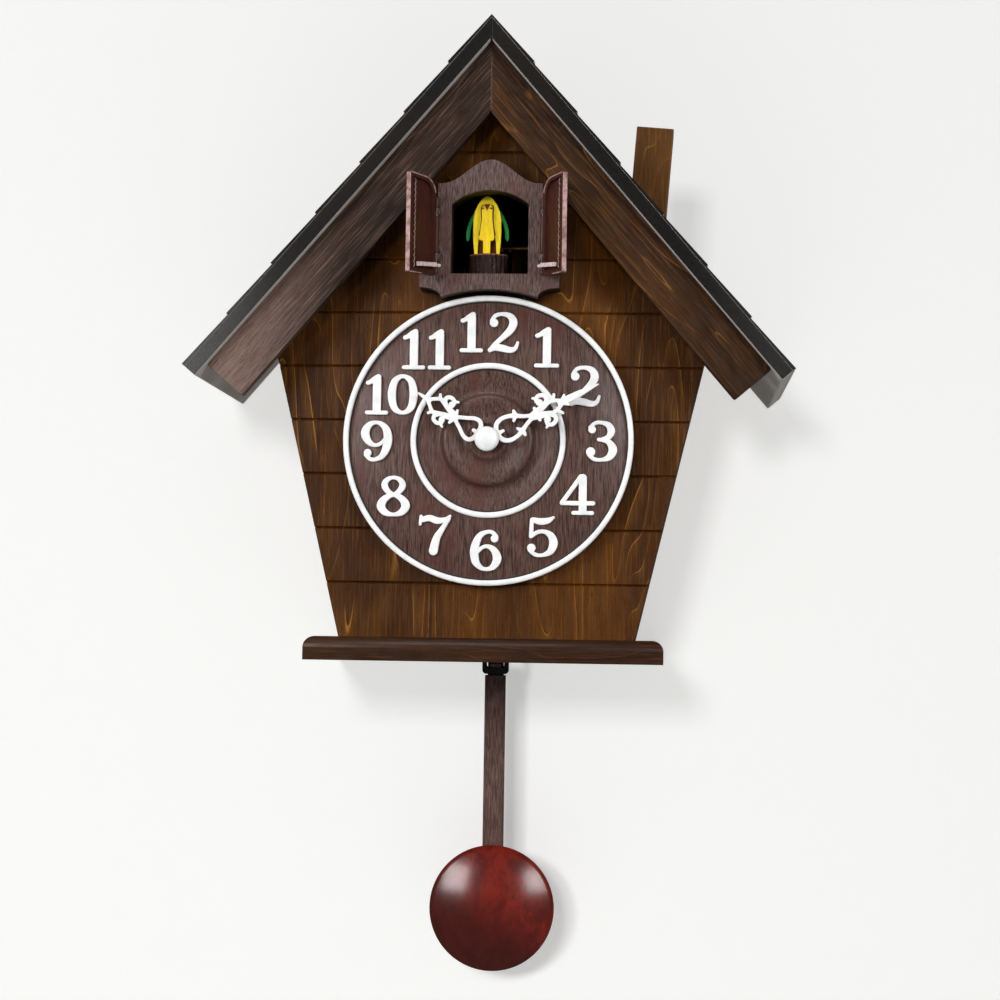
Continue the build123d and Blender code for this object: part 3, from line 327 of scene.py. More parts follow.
SIDING = dict(dark=srgb(48, 23, 3), middle=srgb(78, 43, 8), golden=srgb(158, 104, 40))
BARGE = dict(dark=srgb(26, 13, 6), middle=srgb(56, 32, 13), golden=srgb(122, 80, 36))
MATERIALS = {
    "siding": stained_wood("siding", **SIDING, figure=0.75, sheen=0.08, streak=0.14),
    "side_wood": stained_wood("side_wood", **SIDING, figure=0.4, sheen=0.08, shift=0.3),
    "chimney_wood": stained_wood(
        "chimney_wood", srgb(50, 27, 6), srgb(80, 48, 14), srgb(126, 84, 34), figure=0.5, shift=0.7, sheen=0.1),
    # Left bargeboard: the pale tone at its eave is a painted sheen; its pinkish-grey figure is partly the wood's
    # colour and partly a painted sheen.
    "barge_left": stained_wood(
        "barge_left", srgb(24, 13, 7), srgb(47, 30, 20), srgb(112, 88, 76), turn=BOARD_TURN, figure=0.2,
        sheen=0.12, shift=1.1, streak=0.5, eave=(-1, srgb(140, 116, 106))),
    # Right bargeboard: the near-black tone at its eave is painted shade.
    "barge_right": stained_wood(
        "barge_right", **BARGE, turn=-BOARD_TURN, figure=0.85, sheen=0.1, shift=2.3, eave=(1, srgb(24, 12, 5))),
    "roof_left": satin_roof("roof_left", srgb(9, 6, 4), srgb(20, 13, 9), BOARD_TURN, -1),
    "roof_right": satin_roof("roof_right", srgb(8, 5, 4), srgb(18, 12, 8), -BOARD_TURN, 1),
    "base_wood": stained_wood(
        "base_wood", srgb(28, 13, 4), srgb(52, 28, 11), srgb(96, 60, 34), turn=math.pi / 2, figure=0.35,
        sheen=0.12, shift=0.2),
    "inner_wood": stained_wood(
        "inner_wood", srgb(120, 88, 52), srgb(176, 136, 88), srgb(200, 164, 112), turn=math.pi / 2, figure=0.4,
        sheen=0.0, shift=0.5, rough=(0.6, 0.8)),
    "back_board": stained_wood(
        "back_board", srgb(52, 32, 16), srgb(96, 64, 34), srgb(126, 90, 52), figure=0.5, sheen=0.0, shift=0.8,
        rough=(0.6, 0.75)),
    "dial_plastic": grained_plastic(
        "dial_plastic", srgb(42, 26, 22), srgb(98, 74, 67), srgb(78, 42, 35), rough=(0.3, 0.44)),
    # The window frame, with painted shade inside its reveal behind its front.
    "frame_plastic": grained_plastic(
        "frame_plastic", srgb(26, 15, 12), srgb(104, 80, 75), srgb(78, 48, 42), depth=0.0002, length=0.006,
        shade_y=FRAME_FRONT + 1.2 * MM),
    # Pale pink for the shutters' rims and bows: a painted highlight of their lit edges.
    "rim_painted_highlight": plain_plastic("rim_painted_highlight", srgb(176, 142, 138), srgb(120, 88, 84), patch=0.003),
    # Near-white for the shutters' bars: a painted highlight, the glare on them.
    "bar_painted_highlight": plain_plastic(
        "bar_painted_highlight", srgb(222, 202, 202), srgb(186, 160, 158), rough=(0.3, 0.4), patch=0.002),
    # Near black for the lines inside the rings: painted shade of grooves.
    "groove_painted_shade": plain_plastic("groove_painted_shade", srgb(26, 16, 14), srgb(40, 26, 24), rough=(0.5, 0.7)),
    "shutter_plastic": grained_plastic(
        "shutter_plastic", srgb(40, 18, 12), srgb(76, 40, 31), srgb(70, 29, 20), depth=0.00006),
    "white_plastic": plain_plastic("white_plastic", srgb(224, 224, 223), srgb(210, 211, 212), rough=(0.3, 0.42)),
    "yellow_plastic": painted("yellow_plastic", srgb(250, 224, 42), srgb(232, 188, 22)),
    "breast_yellow": painted("breast_yellow", srgb(246, 214, 32), srgb(226, 176, 14)),
    "green_plastic": painted("green_plastic", srgb(44, 150, 76), srgb(26, 104, 50)),
    "red_paint": painted("red_paint", srgb(104, 20, 22), srgb(60, 12, 12)),
    "bark_plastic": bark("bark_plastic"),
    "rod_plastic": grained_plastic("rod_plastic", srgb(44, 28, 24), srgb(112, 86, 78), srgb(76, 48, 42)),
    "bob_lacquer": lacquer("bob_lacquer", srgb(116, 31, 21), srgb(84, 20, 14), srgb(42, 11, 8)),
    "black_plastic": plain_plastic("black_plastic", srgb(20, 20, 21), srgb(32, 32, 34), rough=(0.35, 0.5)),
    "grey_plastic": plain_plastic("grey_plastic", srgb(120, 120, 122), srgb(98, 98, 100)),
    "steel": metal("steel", srgb(196, 196, 200), srgb(150, 148, 146)),
    "brass": metal("brass", srgb(206, 168, 88), srgb(150, 112, 52)),
    "rod_brass": rod_brass("rod_brass"),
    "bird_brown": painted("bird_brown", srgb(120, 66, 18), srgb(86, 42, 12)),
    "copper": metal("copper", srgb(196, 112, 72), srgb(140, 72, 44)),
    "board_green": printed_board("board_green"),
    "cell_wrap": cell_wrap("cell_wrap"),
    "speaker_metal": metal("speaker_metal", srgb(120, 122, 126), srgb(84, 84, 86), brushed=1.2),
}

CAD_LOOKS = {
    "siding": ["front_panel"],
    "side_wood": ["left_side_board", "right_side_board"],
    "chimney_wood": ["chimney"],
    "barge_left": ["left_bargeboard"],
    "barge_right": ["right_bargeboard"],
    "roof_left": ["left_roof_board", "left_shingles"],
    "roof_right": ["right_roof_board", "right_shingles"],
    "base_wood": ["base_board"],
    "inner_wood": ["corner_blocks", "cross_rail"],
    "back_board": ["back_panel", "rear_door"],
    "dial_plastic": ["dial_plate"],
    "frame_plastic": ["window_frame"],
    "shutter_plastic": ["left_shutter", "right_shutter"],
    "bar_painted_highlight": ["left_shutter_bar", "right_shutter_bar"],
    "yellow_plastic": ["bird_body"],
    "breast_yellow": ["bird_breast"],
    "green_plastic": ["left_wing", "right_wing"],
    "red_paint": ["bird_face"],
    "bark_plastic": ["perch_log"],
    "rod_plastic": ["pendulum_rod"],
    "black_plastic": [
        "movement_front_shell", "movement_rear_shell", "hour_wheel", "motion_wheel", "drive_pinion", "battery_tray",
        "pendulum_drive", "pendulum_hanger", "switch_body", "mechanism_base", "bird_carriage", "bird_motor",
    ],
    "grey_plastic": ["setting_knob", "switch_knob"],
    "steel": [
        "back_panel_screws", "hinge_pins", "battery_contacts", "minute_arbor", "drive_magnet",
    ],
    "brass": ["movement_bush", "dial_nut"],
    "rod_brass": ["push_rod"],
    "copper": ["stepper_coil"],
    "board_green": ["circuit_board"],
    "cell_wrap": ["batteries"],
    "speaker_metal": ["speaker"],
}

ROUNDING = {
    "front_panel": 0.5, "left_side_board": 0.8, "right_side_board": 0.8, "chimney": 0.6,
    "left_bargeboard": 0.9, "right_bargeboard": 0.9, "left_roof_board": 0.7, "right_roof_board": 0.7,
    "left_shingles": 0.3, "right_shingles": 0.3, "base_board": 0.8, "back_panel": 0.5, "rear_door": 0.5,
    "window_frame": 0.6, "left_shutter": 0.35, "right_shutter": 0.35, "left_shutter_bar": 0.3,
    "right_shutter_bar": 0.3, "pendulum_rod": 0.4, "bird_body": 0.5, "bird_breast": 0.4, "left_wing": 0.4,
    "right_wing": 0.4, "perch_log": 0.4, "bird_carriage": 0.3, "pendulum_hanger": 0.3,
    "movement_front_shell": 0.5, "movement_rear_shell": 0.5, "battery_tray": 0.4, "setting_knob": 0.4,
}


def dress_cad():
    for look, names in CAD_LOOKS.items():
        for name in names:
            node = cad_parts[name]
            node.data.materials.clear()
            node.data.materials.append(MATERIALS[look])
    for name, width in ROUNDING.items():
        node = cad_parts[name]
        weld = node.modifiers.new("weld", "WELD")
        weld.merge_threshold = 0.00001
        bevel = node.modifiers.new("bevel", "BEVEL")
        bevel.width = width * MM
        bevel.segments = 2
        bevel.limit_method = "ANGLE"
        bevel.angle_limit = math.radians(32)
        bevel.harden_normals = False


# ---- outlines -----------------------------------------------------------------------------------
PATH_STEPS = 6
BLOB_SIDES = 14


def smooth_path(points, closed=False):
    """A Catmull-Rom curve through points whose last number is a half width."""
    if len(points) < 3:
        return list(points)
    count = len(points)
    path = []
    for i in range(count if closed else count - 1):
        if closed:
            four = [points[(i + j) % count] for j in (-1, 0, 1, 2)]
        else:
            four = [points[min(max(i + j, 0), count - 1)] for j in (-1, 0, 1, 2)]
        for step in range(PATH_STEPS):
            t = step / PATH_STEPS
            path.append(tuple(
                0.5 * (2 * b + (c - a) * t + (2 * a - 5 * b + 4 * c - d) * t * t
                       + (3 * b - a - 3 * c + d) * t ** 3)
                for a, b, c, d in zip(*four)
            ))
    path.append(points[0] if closed else points[-1])
    return path


def blob(x, z, radius):
    turns = [2 * math.pi * i / BLOB_SIDES for i in range(BLOB_SIDES)]
    return [(x + radius * math.cos(turn), z + radius * math.sin(turn)) for turn in turns]


def stroke(points, closed=False):
    """Convex pieces that cover a stroke of changing width with round ends."""
    path = smooth_path(points, closed)
    pieces = [blob(*p) for p in path]
    for (x0, z0, w0), (x1, z1, w1) in zip(path, path[1:]):
        length = math.hypot(x1 - x0, z1 - z0)
        if length < 1e-6:
            continue
        nx, nz = -(z1 - z0) / length, (x1 - x0) / length
        pieces.append([
            (x0 + nx * w0, z0 + nz * w0), (x0 - nx * w0, z0 - nz * w0),
            (x1 - nx * w1, z1 - nz * w1), (x1 + nx * w1, z1 + nz * w1),
        ])
    return pieces


def united(pieces):
    """The outline loops of the union of some polygons."""
    points = []
    faces = []
    for piece in pieces:
        faces.append(list(range(len(points), len(points) + len(piece))))
        points.extend(Vector(p) for p in piece)
    found = delaunay_2d_cdt(points, [], faces, 0, 1e-5)
    corners, triangles, sources = found[0], found[2], found[5]
    onward = {}
    edges = set()
    for triangle, source in zip(triangles, sources):
        if source:
            edges.update(zip(triangle, triangle[1:] + triangle[:1]))
    for a, b in edges:
        if (b, a) not in edges:
            onward.setdefault(a, []).append(b)
    loops = []
    while onward:
        start = next(iter(onward))
        loop = [start]
        here = start
        while True:
            nexts = onward[here]
            here_next = nexts.pop()
            if not nexts:
                del onward[here]
            here = here_next
            if here == start:
                break
            loop.append(here)
        loops.append([corners[i] for i in loop])
    return loops


CURVE_GAP = 0.12    # millimetres


def thinned(loop, gap):
    """A loop without points closer together than the gap."""
    kept = [loop[0]]
    for point in loop[1:]:
        if (point - kept[-1]).length > gap:
            kept.append(point)
    return kept


def moulding(name, loops, back, front, edge, look):
    """A flat moulded piece with rounded edges, from loops in X and Z, between y = back and y = front."""
    data = bpy.data.curves.new(name, "CURVE")
    data.dimensions = "2D"
    data.fill_mode = "BOTH"
    half = (back - front) / 2
    data.bevel_depth = edge
    data.bevel_resolution = 3
    data.offset = -edge
    data.extrude = half - edge
    for loop in loops:
        loop = thinned(loop, CURVE_GAP)
        if len(loop) < 4:
            continue
        spline = data.splines.new("POLY")
        spline.points.add(len(loop) - 1)
        for point, (x, z) in zip(spline.points, loop):
            point.co = (x * MM, z * MM, 0, 1)
        spline.use_cyclic_u = True
    piece = linked(name, data, look)
    upright = Matrix.Rotation(math.pi / 2, 4, "X")
    piece.matrix_world = Matrix.Translation((0, (back + front) / 2, DIAL_Z)) @ upright
    return piece


def turned(name, profile, centre, look, segments):
    """A mesh turned about an axis along Y from (radius, y) points in metres."""
    mesh = bpy.data.meshes.new(name)
    verts = []
    rings = []
    for radius, y in profile:
        if radius < 1e-7:
            rings.append([len(verts)])
            verts.append((centre[0], y, centre[1]))
            continue
        rings.append(range(len(verts), len(verts) + segments))
        for i in range(segments):
            angle = 2 * math.pi * i / segments
            verts.append((centre[0] + radius * math.sin(angle), y, centre[1] + radius * math.cos(angle)))
    faces = []
    for ring, after in zip(rings, rings[1:]):
        for i in range(segments):
            j = (i + 1) % segments
            quad = [ring[i % len(ring)], ring[j % len(ring)], after[j % len(after)], after[i % len(after)]]
            faces.append(list(dict.fromkeys(quad)))
    mesh.from_pydata(verts, [], faces)
    mesh.shade_smooth()
    return linked(name, mesh, look)


def linked(name, data, look):
    """An object of the given mesh or curve, in the scene, with one of the materials."""
    data.materials.append(MATERIALS[look])
    piece = bpy.data.objects.new(name, data)
    bpy.context.collection.objects.link(piece)
    return piece


def hand_over(piece, body, slot, *nodes):
    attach(piece, body)
    if nodes:
        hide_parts(*nodes)


# ---- numerals -----------------------------------------------------------------------------------
# Strokes of each digit, with the height as 1: x from the middle, z from the foot, half width.
SIX = [
    [(0.2, 0.79, 0.105)],
    [(0.25, 0.84, 0.05), (0.14, 0.94, 0.055), (0.0, 0.945, 0.055), (-0.17, 0.84, 0.085), (-0.28, 0.55, 0.115),
     (-0.26, 0.26, 0.105), (-0.14, 0.1, 0.07), (0.02, 0.052, 0.052), (0.18, 0.12, 0.085), (0.27, 0.31, 0.115),
     (0.19, 0.51, 0.09), (0.04, 0.6, 0.055), (-0.1, 0.57, 0.05), (-0.22, 0.45, 0.05)],
]
DIGITS = {
    "0": [[(0.0, 0.945, 0.055), (0.2, 0.82, 0.09), (0.265, 0.5, 0.11), (0.2, 0.18, 0.09),
           (0.0, 0.055, 0.055), (-0.2, 0.18, 0.09), (-0.265, 0.5, 0.11), (-0.2, 0.82, 0.09)]],
    "1": [
        [(0.02, 0.1, 0.11), (0.02, 0.86, 0.11)],
        [(0.05, 0.92, 0.08), (-0.06, 0.86, 0.075), (-0.16, 0.8, 0.062), (-0.22, 0.78, 0.06)],
        [(-0.24, 0.055, 0.055), (0.27, 0.055, 0.055)],
    ],
    "2": [
        [(-0.22, 0.73, 0.115)],
        [(-0.28, 0.78, 0.05), (-0.18, 0.91, 0.055), (0.0, 0.945, 0.055), (0.17, 0.89, 0.085), (0.25, 0.74, 0.11),
         (0.18, 0.56, 0.1), (0.0, 0.38, 0.075), (-0.2, 0.2, 0.06), (-0.31, 0.06, 0.055)],
        [(-0.31, 0.07, 0.06), (-0.18, 0.13, 0.09), (0.0, 0.11, 0.095), (0.18, 0.07, 0.08), (0.3, 0.11, 0.06),
         (0.36, 0.25, 0.04)],
    ],
    "3": [
        [(-0.22, 0.78, 0.105)],
        [(-0.27, 0.83, 0.05), (-0.14, 0.94, 0.052), (0.03, 0.945, 0.055), (0.18, 0.88, 0.085), (0.24, 0.74, 0.1),
         (0.17, 0.6, 0.075), (0.0, 0.54, 0.05), (-0.06, 0.54, 0.05)],
        [(-0.03, 0.54, 0.05), (0.17, 0.49, 0.075), (0.285, 0.3, 0.115), (0.2, 0.12, 0.09), (0.02, 0.052, 0.052),
         (-0.17, 0.07, 0.055), (-0.29, 0.18, 0.06)],
        [(-0.25, 0.24, 0.125)],
    ],
    "4": [
        [(0.13, 0.1, 0.105), (0.13, 0.9, 0.105)],
        [(0.08, 0.93, 0.065), (-0.14, 0.62, 0.06), (-0.37, 0.3, 0.06)],
        [(-0.37, 0.29, 0.06), (0.38, 0.29, 0.06)],
        [(-0.09, 0.055, 0.055), (0.36, 0.055, 0.055)],
    ],
    "5": [
        [(-0.22, 0.9, 0.065), (-0.04, 0.86, 0.09), (0.14, 0.88, 0.08), (0.28, 0.96, 0.035)],
        [(-0.24, 0.9, 0.055), (-0.26, 0.5, 0.055)],
        [(-0.25, 0.5, 0.055), (-0.1, 0.6, 0.055), (0.08, 0.61, 0.06), (0.23, 0.51, 0.095), (0.285, 0.33, 0.115),
         (0.21, 0.14, 0.09), (0.03, 0.052, 0.052), (-0.15, 0.06, 0.055), (-0.28, 0.17, 0.06)],
        [(-0.245, 0.22, 0.115)],
    ],
    "6": SIX,
    "7": [
        [(-0.36, 0.76, 0.04), (-0.34, 0.95, 0.045)],
        [(-0.33, 0.86, 0.07), (-0.14, 0.91, 0.085), (0.06, 0.85, 0.09), (0.24, 0.88, 0.06), (0.36, 0.96, 0.04)],
        [(0.33, 0.9, 0.055), (0.18, 0.66, 0.07), (0.04, 0.42, 0.1), (-0.03, 0.12, 0.12)],
    ],
    "8": [
        [(0.0, 0.95, 0.05), (0.16, 0.89, 0.07), (0.22, 0.76, 0.088), (0.14, 0.62, 0.075), (0.0, 0.54, 0.06),
         (-0.14, 0.62, 0.075), (-0.22, 0.76, 0.088), (-0.16, 0.89, 0.07)],
        [(0.0, 0.53, 0.06), (0.2, 0.44, 0.09), (0.3, 0.27, 0.115), (0.2, 0.11, 0.09), (0.0, 0.052, 0.052),
         (-0.2, 0.11, 0.09), (-0.3, 0.27, 0.115), (-0.2, 0.44, 0.09)],
    ],
    "9": [[(-x, 1 - z, w) for x, z, w in part] for part in SIX],
}
CLOSED_DIGITS = "08"
NUMERAL_R = 60.3    # millimetres, like the nudges and the offsets of paired digits
NUMERAL_H = 22.6
NUDGE = {
    1: (1, -1), 3: (1.5, 0), 4: (-3, 1), 7: (2, 0), 8: (1, -1), 9: (-1, -1),
    10: (-0.5, -5.5), 11: (-4.5, -2.5), 12: (0, -1),
}
PAIR_OFFSETS = {10: (-9.0, 5.6), 11: (-7.1, 7.1), 12: (-10.2, 7.4)}
NUMERAL_WEIGHT = 0.92
PAIR_SQUEEZE = 0.92


def numeral(hour):
    """Loops of an hour's numeral in its place on the dial, in millimetres."""
    text = str(hour)
    dx, dz = NUDGE.get(hour, (0, 0))
    angle = 2 * math.pi * hour / 12
    x0 = NUMERAL_R * math.sin(angle) + dx
    z0 = NUMERAL_R * math.cos(angle) + dz - NUMERAL_H / 2
    pieces = []
    for digit, offset in zip(text, PAIR_OFFSETS.get(hour, (0,))):
        squeeze = PAIR_SQUEEZE if len(text) == 2 and digit == "1" else 1.0
        for part in DIGITS[digit]:
            placed = []
            for x, z, w in part:
                across = x0 + offset + x * squeeze * NUMERAL_H
                placed.append((across, z0 + z * NUMERAL_H, w * NUMERAL_WEIGHT * NUMERAL_H))
            pieces += stroke(placed, digit in CLOSED_DIGITS)
    return united(pieces)


# ---- hands --------------------------------------------------------------------------------------
# Strokes of one side of each hand: along the hand from the axis, across it, half width. Millimetres.
HOUR_STROKES = [
    [(21.2, 0.6, 0.75), (16.4, 3.1, 0.75), (11.8, 5.7, 0.8), (8.6, 5.8, 0.85), (6.6, 3.6, 0.9), (6.4, 0.8, 0.9)],
    [(6.5, 0.0, 0.9), (9.0, 0.0, 0.7)],
    [(20.6, 0.4, 1.1), (24.5, 1.5, 1.2), (28.5, 2.6, 0.95), (31.5, 3.6, 0.8), (33.6, 4.1, 0.8), (36.2, 2.3, 0.7),
     (38.8, 0.4, 0.8)],
    [(33.8, 4.2, 0.75), (34.9, 6.0, 0.55)],
    [(28.8, 2.7, 0.9), (31.0, 4.8, 0.85), (30.7, 7.0, 0.8), (28.3, 7.9, 0.8), (26.1, 6.9, 0.75), (25.9, 5.4, 0.8)],
    [(26.6, 4.9, 1.25)],
    [(26.0, 7.1, 0.65), (24.4, 8.0, 0.5)],
    [(21.6, 1.0, 0.85), (22.3, 3.9, 0.55)],
    [(38.2, 0.0, 1.0), (41.0, 0.0, 0.85), (45.3, 0.0, 0.4)],
    [(0.0, 0.0, 4.4)],
    [(3.0, 0.0, 1.6), (6.4, 0.0, 1.2)],
]
MINUTE_STROKES = [
    [(27.6, 0.5, 0.85), (23.0, 2.4, 0.75), (19.3, 4.5, 0.95), (15.5, 6.0, 0.8), (11.5, 6.3, 0.85), (8.3, 4.9, 0.9),
     (6.7, 2.2, 0.95), (6.8, 0.5, 1.0)],
    [(19.4, 5.0, 1.05), (19.7, 7.2, 0.6)],
    [(19.0, 4.2, 0.9), (17.4, 2.3, 0.55)],
    [(6.8, 0.0, 0.9), (9.9, 0.0, 0.6)],
    [(27.0, 0.3, 1.2), (31.5, 1.3, 1.35), (35.5, 2.3, 1.1), (38.6, 3.1, 0.85), (41.8, 2.6, 0.75), (45.6, 0.4, 0.85)],
    [(30.3, 1.4, 0.95), (30.4, 3.6, 0.6)],
    [(35.8, 2.6, 1.0), (38.5, 4.9, 0.9), (38.0, 7.6, 0.85), (35.4, 8.6, 0.85), (33.3, 7.6, 0.8), (33.2, 6.0, 0.8)],
    [(34.2, 5.1, 1.35)],
    [(33.1, 8.1, 0.65), (31.9, 8.8, 0.5)],
    [(41.0, 2.9, 0.85), (43.2, 5.6, 0.55)],
    [(45.6, 0.5, 0.9), (48.0, 2.8, 0.5)],
    [(44.5, 0.0, 1.3), (50.0, 0.0, 1.4), (58.0, 0.0, 1.1), (67.2, 0.0, 0.3)],
    [(0.0, 0.0, 4.4)],
    [(3.0, 0.0, 1.6), (6.6, 0.0, 1.2)],
]
HUB_R = 4.4
HAND_WEIGHT = 1.42
HAND_EDGE = 0.00035
CAP_R = 6.7 * MM


def hand_loops(strokes, angle):
    """Loops of a hand at its hour, with its strokes made bolder but for the hub."""
    pieces = []
    for points in strokes:
        for side in (-1, 1):
            placed = []
            for along, across, width in points:
                x = along * math.sin(angle) + side * across * math.cos(angle)
                z = along * math.cos(angle) - side * across * math.sin(angle)
                placed.append((x, z, width * HAND_WEIGHT if width < HUB_R else width))
            pieces += stroke(placed)
    return united(pieces)


NUMERAL_EDGE = 0.0005
RINGS = ((76.5, 79.5, 7.5), (39.4, 42.5, 7.0))    # millimetres: inner and outer radius, front over the panel


def make_dial():
    """The twelve numerals and the two rings, each ring with a rounded front."""
    low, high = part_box("dial_numerals")
    loops = []
    for hour in range(1, 13):
        loops += numeral(hour)
    numerals = moulding("numerals", loops, high.y, low.y, NUMERAL_EDGE, "white_plastic")
    hand_over(numerals, "case", "white_plastic", "dial_numerals")
    rings = []
    for inner, outer, front in RINGS:
        middle = (inner + outer) / 2 * MM
        half = (outer - inner) / 2 * MM
        top = FACE - front * MM
        foot = high.y
        profile = [
            (middle - half, foot), (middle - half, top + 0.9 * MM), (middle - half * 0.85, top + 0.35 * MM),
            (middle - half * 0.45, top + 0.12 * MM), (middle, top), (middle + half * 0.45, top + 0.12 * MM),
            (middle + half * 0.85, top + 0.35 * MM), (middle + half, top + 0.9 * MM), (middle + half, foot),
            (middle - half, foot),
        ]
        rings.append(turned("ring_" + str(int(outer)), profile[::-1], (0, DIAL_Z), "white_plastic", 160))
    hand_over(rings[0], "case", "white_plastic", "dial_rings")
    hand_over(rings[1], "case", "white_plastic")


PLATE_T = 5.0              # millimetres
GROOVES = (76.1, 39.0)     # radii in millimetres


def make_dial_plate():
    """The plate: a channel, a raised disc with a dish and a boss, and a near-black line inside each ring, painted
    shade of a groove there.
    """
    back = DIAL_HIGH.y
    flat = back - PLATE_T * MM
    shape = [
        (79.5, 0.0), (79.5, 4.4), (78.9, 5.0), (37.0, 5.0), (33.0, 4.3), (29.5, 3.5), (27.2, 3.3), (26.0, 3.9),
        (25.2, 5.4), (24.7, 6.9), (24.0, 7.9), (22.6, 8.3), (20.5, 8.0), (17.0, 7.1), (14.0, 6.5), (12.2, 6.6),
        (11.0, 7.6), (10.3, 8.5), (9.5, 8.8), (8.4, 8.5), (7.5, 8.0), (5.5, 8.0), (5.0, 7.5), (5.0, 0.0),
        (79.5, 0.0),
    ]
    profile = [(r * MM, back - y * MM) for r, y in shape]
    plate = turned("dial_moulding", profile, (0, DIAL_Z), "dial_plastic", 160)
    hand_over(plate, "case", "dial_plastic", "dial_plate")
    # Each line is a thin raised near-black ring: painted shade standing in for the groove inside the ring.
    for number, radius in enumerate(GROOVES):
        shape = [(-0.55, 0.0), (-0.45, 0.12), (0.45, 0.12), (0.55, 0.0), (-0.55, 0.0)]
        profile = [((radius + r) * MM, flat - y * MM) for r, y in shape]
        groove = turned("dial_groove_" + str(number), profile[::-1], (0, DIAL_Z), "groove_painted_shade", 160)
        hand_over(groove, "case", "dial_plastic")


def make_hands():
    """Both pierced hands and the domed cap over their middle."""
    low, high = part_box("hour_hand")
    loops = hand_loops(HOUR_STROKES, HOUR_ANGLE)
    hour = moulding("hour_hand_filigree", loops, high.y, low.y, HAND_EDGE, "white_plastic")
    hand_over(hour, "hour_hand_body", "white_plastic", "hour_hand")
    low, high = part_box("minute_hand")
    loops = hand_loops(MINUTE_STROKES, MINUTE_ANGLE)
    minute = moulding("minute_hand_filigree", loops, high.y, low.y, HAND_EDGE, "white_plastic")
    hand_over(minute, "minute_hand_body", "white_plastic", "minute_hand")
    low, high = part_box("hand_cap")
    tall = high.y - low.y
    profile = [(0, high.y), (CAP_R * 0.9, high.y), (CAP_R, high.y - tall * 0.05)]
    for turn in (0.0, 0.25, 0.5, 0.75, 1.0, 1.25, 1.4):
        profile.append((CAP_R * math.cos(turn), high.y - tall * (0.25 + 0.75 * math.sin(turn))))
    profile.append((0, low.y))
    cap = turned("cap_dome", profile, (0, DIAL_Z), "white_plastic", 64)
    hand_over(cap, "minute_hand_body", "white_plastic", "hand_cap")


def make_bob():
    """A shallow part of a sphere on a thin rim."""
    low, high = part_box("pendulum_bob")
    radius = (high.x - low.x) / 2
    centre = ((low.x + high.x) / 2, (low.z + high.z) / 2)
    lip = high.y - 2.6 * MM
    profile = [
        (0, high.y), (radius * 0.96, high.y), (radius * 0.99, high.y - 0.6 * MM), (radius, high.y - 1.4 * MM),
        (radius, lip + 0.4 * MM),
    ]
    rise = lip - low.y
    edge = radius * 0.996
    sphere = (edge ** 2 + rise ** 2) / (2 * rise)
    for i in range(17):
        reach = edge * (1 - i / 16)
        profile.append((reach, low.y + sphere - math.sqrt(sphere ** 2 - reach ** 2)))
    bob = turned("bob_dome", profile, centre, "bob_lacquer", 128)
    hand_over(bob, "pendulum", "bob_lacquer", "pendulum_bob")


# ---- shutters -----------------------------------------------------------------------------------
HINGE_X = 29.0 * MM
HINGE_Y = -141.0 * MM
SHUTTER_OPEN = math.radians(-115)
SHUTTER_W = 28.6      # millimetres, like the heights over the dial's centre below
SHUTTER_LOW = 86.9
SHUTTER_HIGH = 140.0
BEAD_COUNT = 15
BEAD_LOW = 89.5
BEAD_PITCH = 3.2
BEAD_R = 1.05 * MM
LINE_R = 0.32 * MM


def shutter_place(side, along, out, z):
    """A point on an open shutter: along it from the hinge, out from its hinge plane, height over the dial."""
    x = -HINGE_X + (along * math.cos(SHUTTER_OPEN) - out * math.sin(SHUTTER_OPEN)) * MM
    y = HINGE_Y + (along * math.sin(SHUTTER_OPEN) + out * math.cos(SHUTTER_OPEN)) * MM
    return (x if side < 0 else -x), y, DIAL_Z + z * MM


def tube(name, lines, radius, look):
    """Round bars through lists of (point, width factor)."""
    data = bpy.data.curves.new(name, "CURVE")
    data.dimensions = "3D"
    data.bevel_depth = radius
    data.bevel_resolution = 3
    data.use_fill_caps = True
    for line in lines:
        spline = data.splines.new("POLY")
        spline.points.add(len(line) - 1)
        for point, (place, width) in zip(spline.points, line):
            point.co = (*place, 1)
            point.radius = width
    return linked(name, data, look)


def make_shutter_rims():
    """Ribs on each shutter's free edge, thin rims at the top and foot of its inner face, a row of bows, all in a
    pale pink that paints the highlight on the edges.
    """
    for word, side in (("left", -1), ("right", 1)):
        beads = []
        for out in (-1.7, -1.2, -0.7, -0.2, 0.3):
            ends = [shutter_place(side, SHUTTER_W - 0.02, out, z) for z in (SHUTTER_LOW, SHUTTER_HIGH)]
            beads.append([(end, 0.27) for end in ends])
        arc = []
        for i in range(9):
            turn = math.radians(90 + 80 * i / 8)
            along, height = 13.0 + 11.0 * math.cos(turn), 132.0 + 8.3 * math.sin(turn)
            arc.append((shutter_place(side, along, 0.5, height), 0.4))
        top = [(shutter_place(side, SHUTTER_W - 0.6, 0.5, SHUTTER_HIGH + 0.2), 0.4)] + arc
        corner = shutter_place(side, SHUTTER_W - 0.4, 0.5, SHUTTER_LOW - 0.3)
        inner = shutter_place(side, 16.0, 0.5, SHUTTER_LOW + 0.5)
        beads += [top, [(corner, 0.35), (inner, 0.3)]]
        for i in range(BEAD_COUNT):
            height = BEAD_LOW + BEAD_PITCH * i
            bow = [(0.0, 0.0), (1.0, 0.7), (1.2, 1.6), (1.0, 2.5), (0.0, BEAD_PITCH)]
            beads.append([(shutter_place(side, SHUTTER_W - 4.2 - x, 0.45, height + z), 0.2) for x, z in bow])
        rim = tube(word + "_shutter_rim", beads, BEAD_R, "rim_painted_highlight")
        hand_over(rim, word + "_shutter_body", "shutter_plastic")


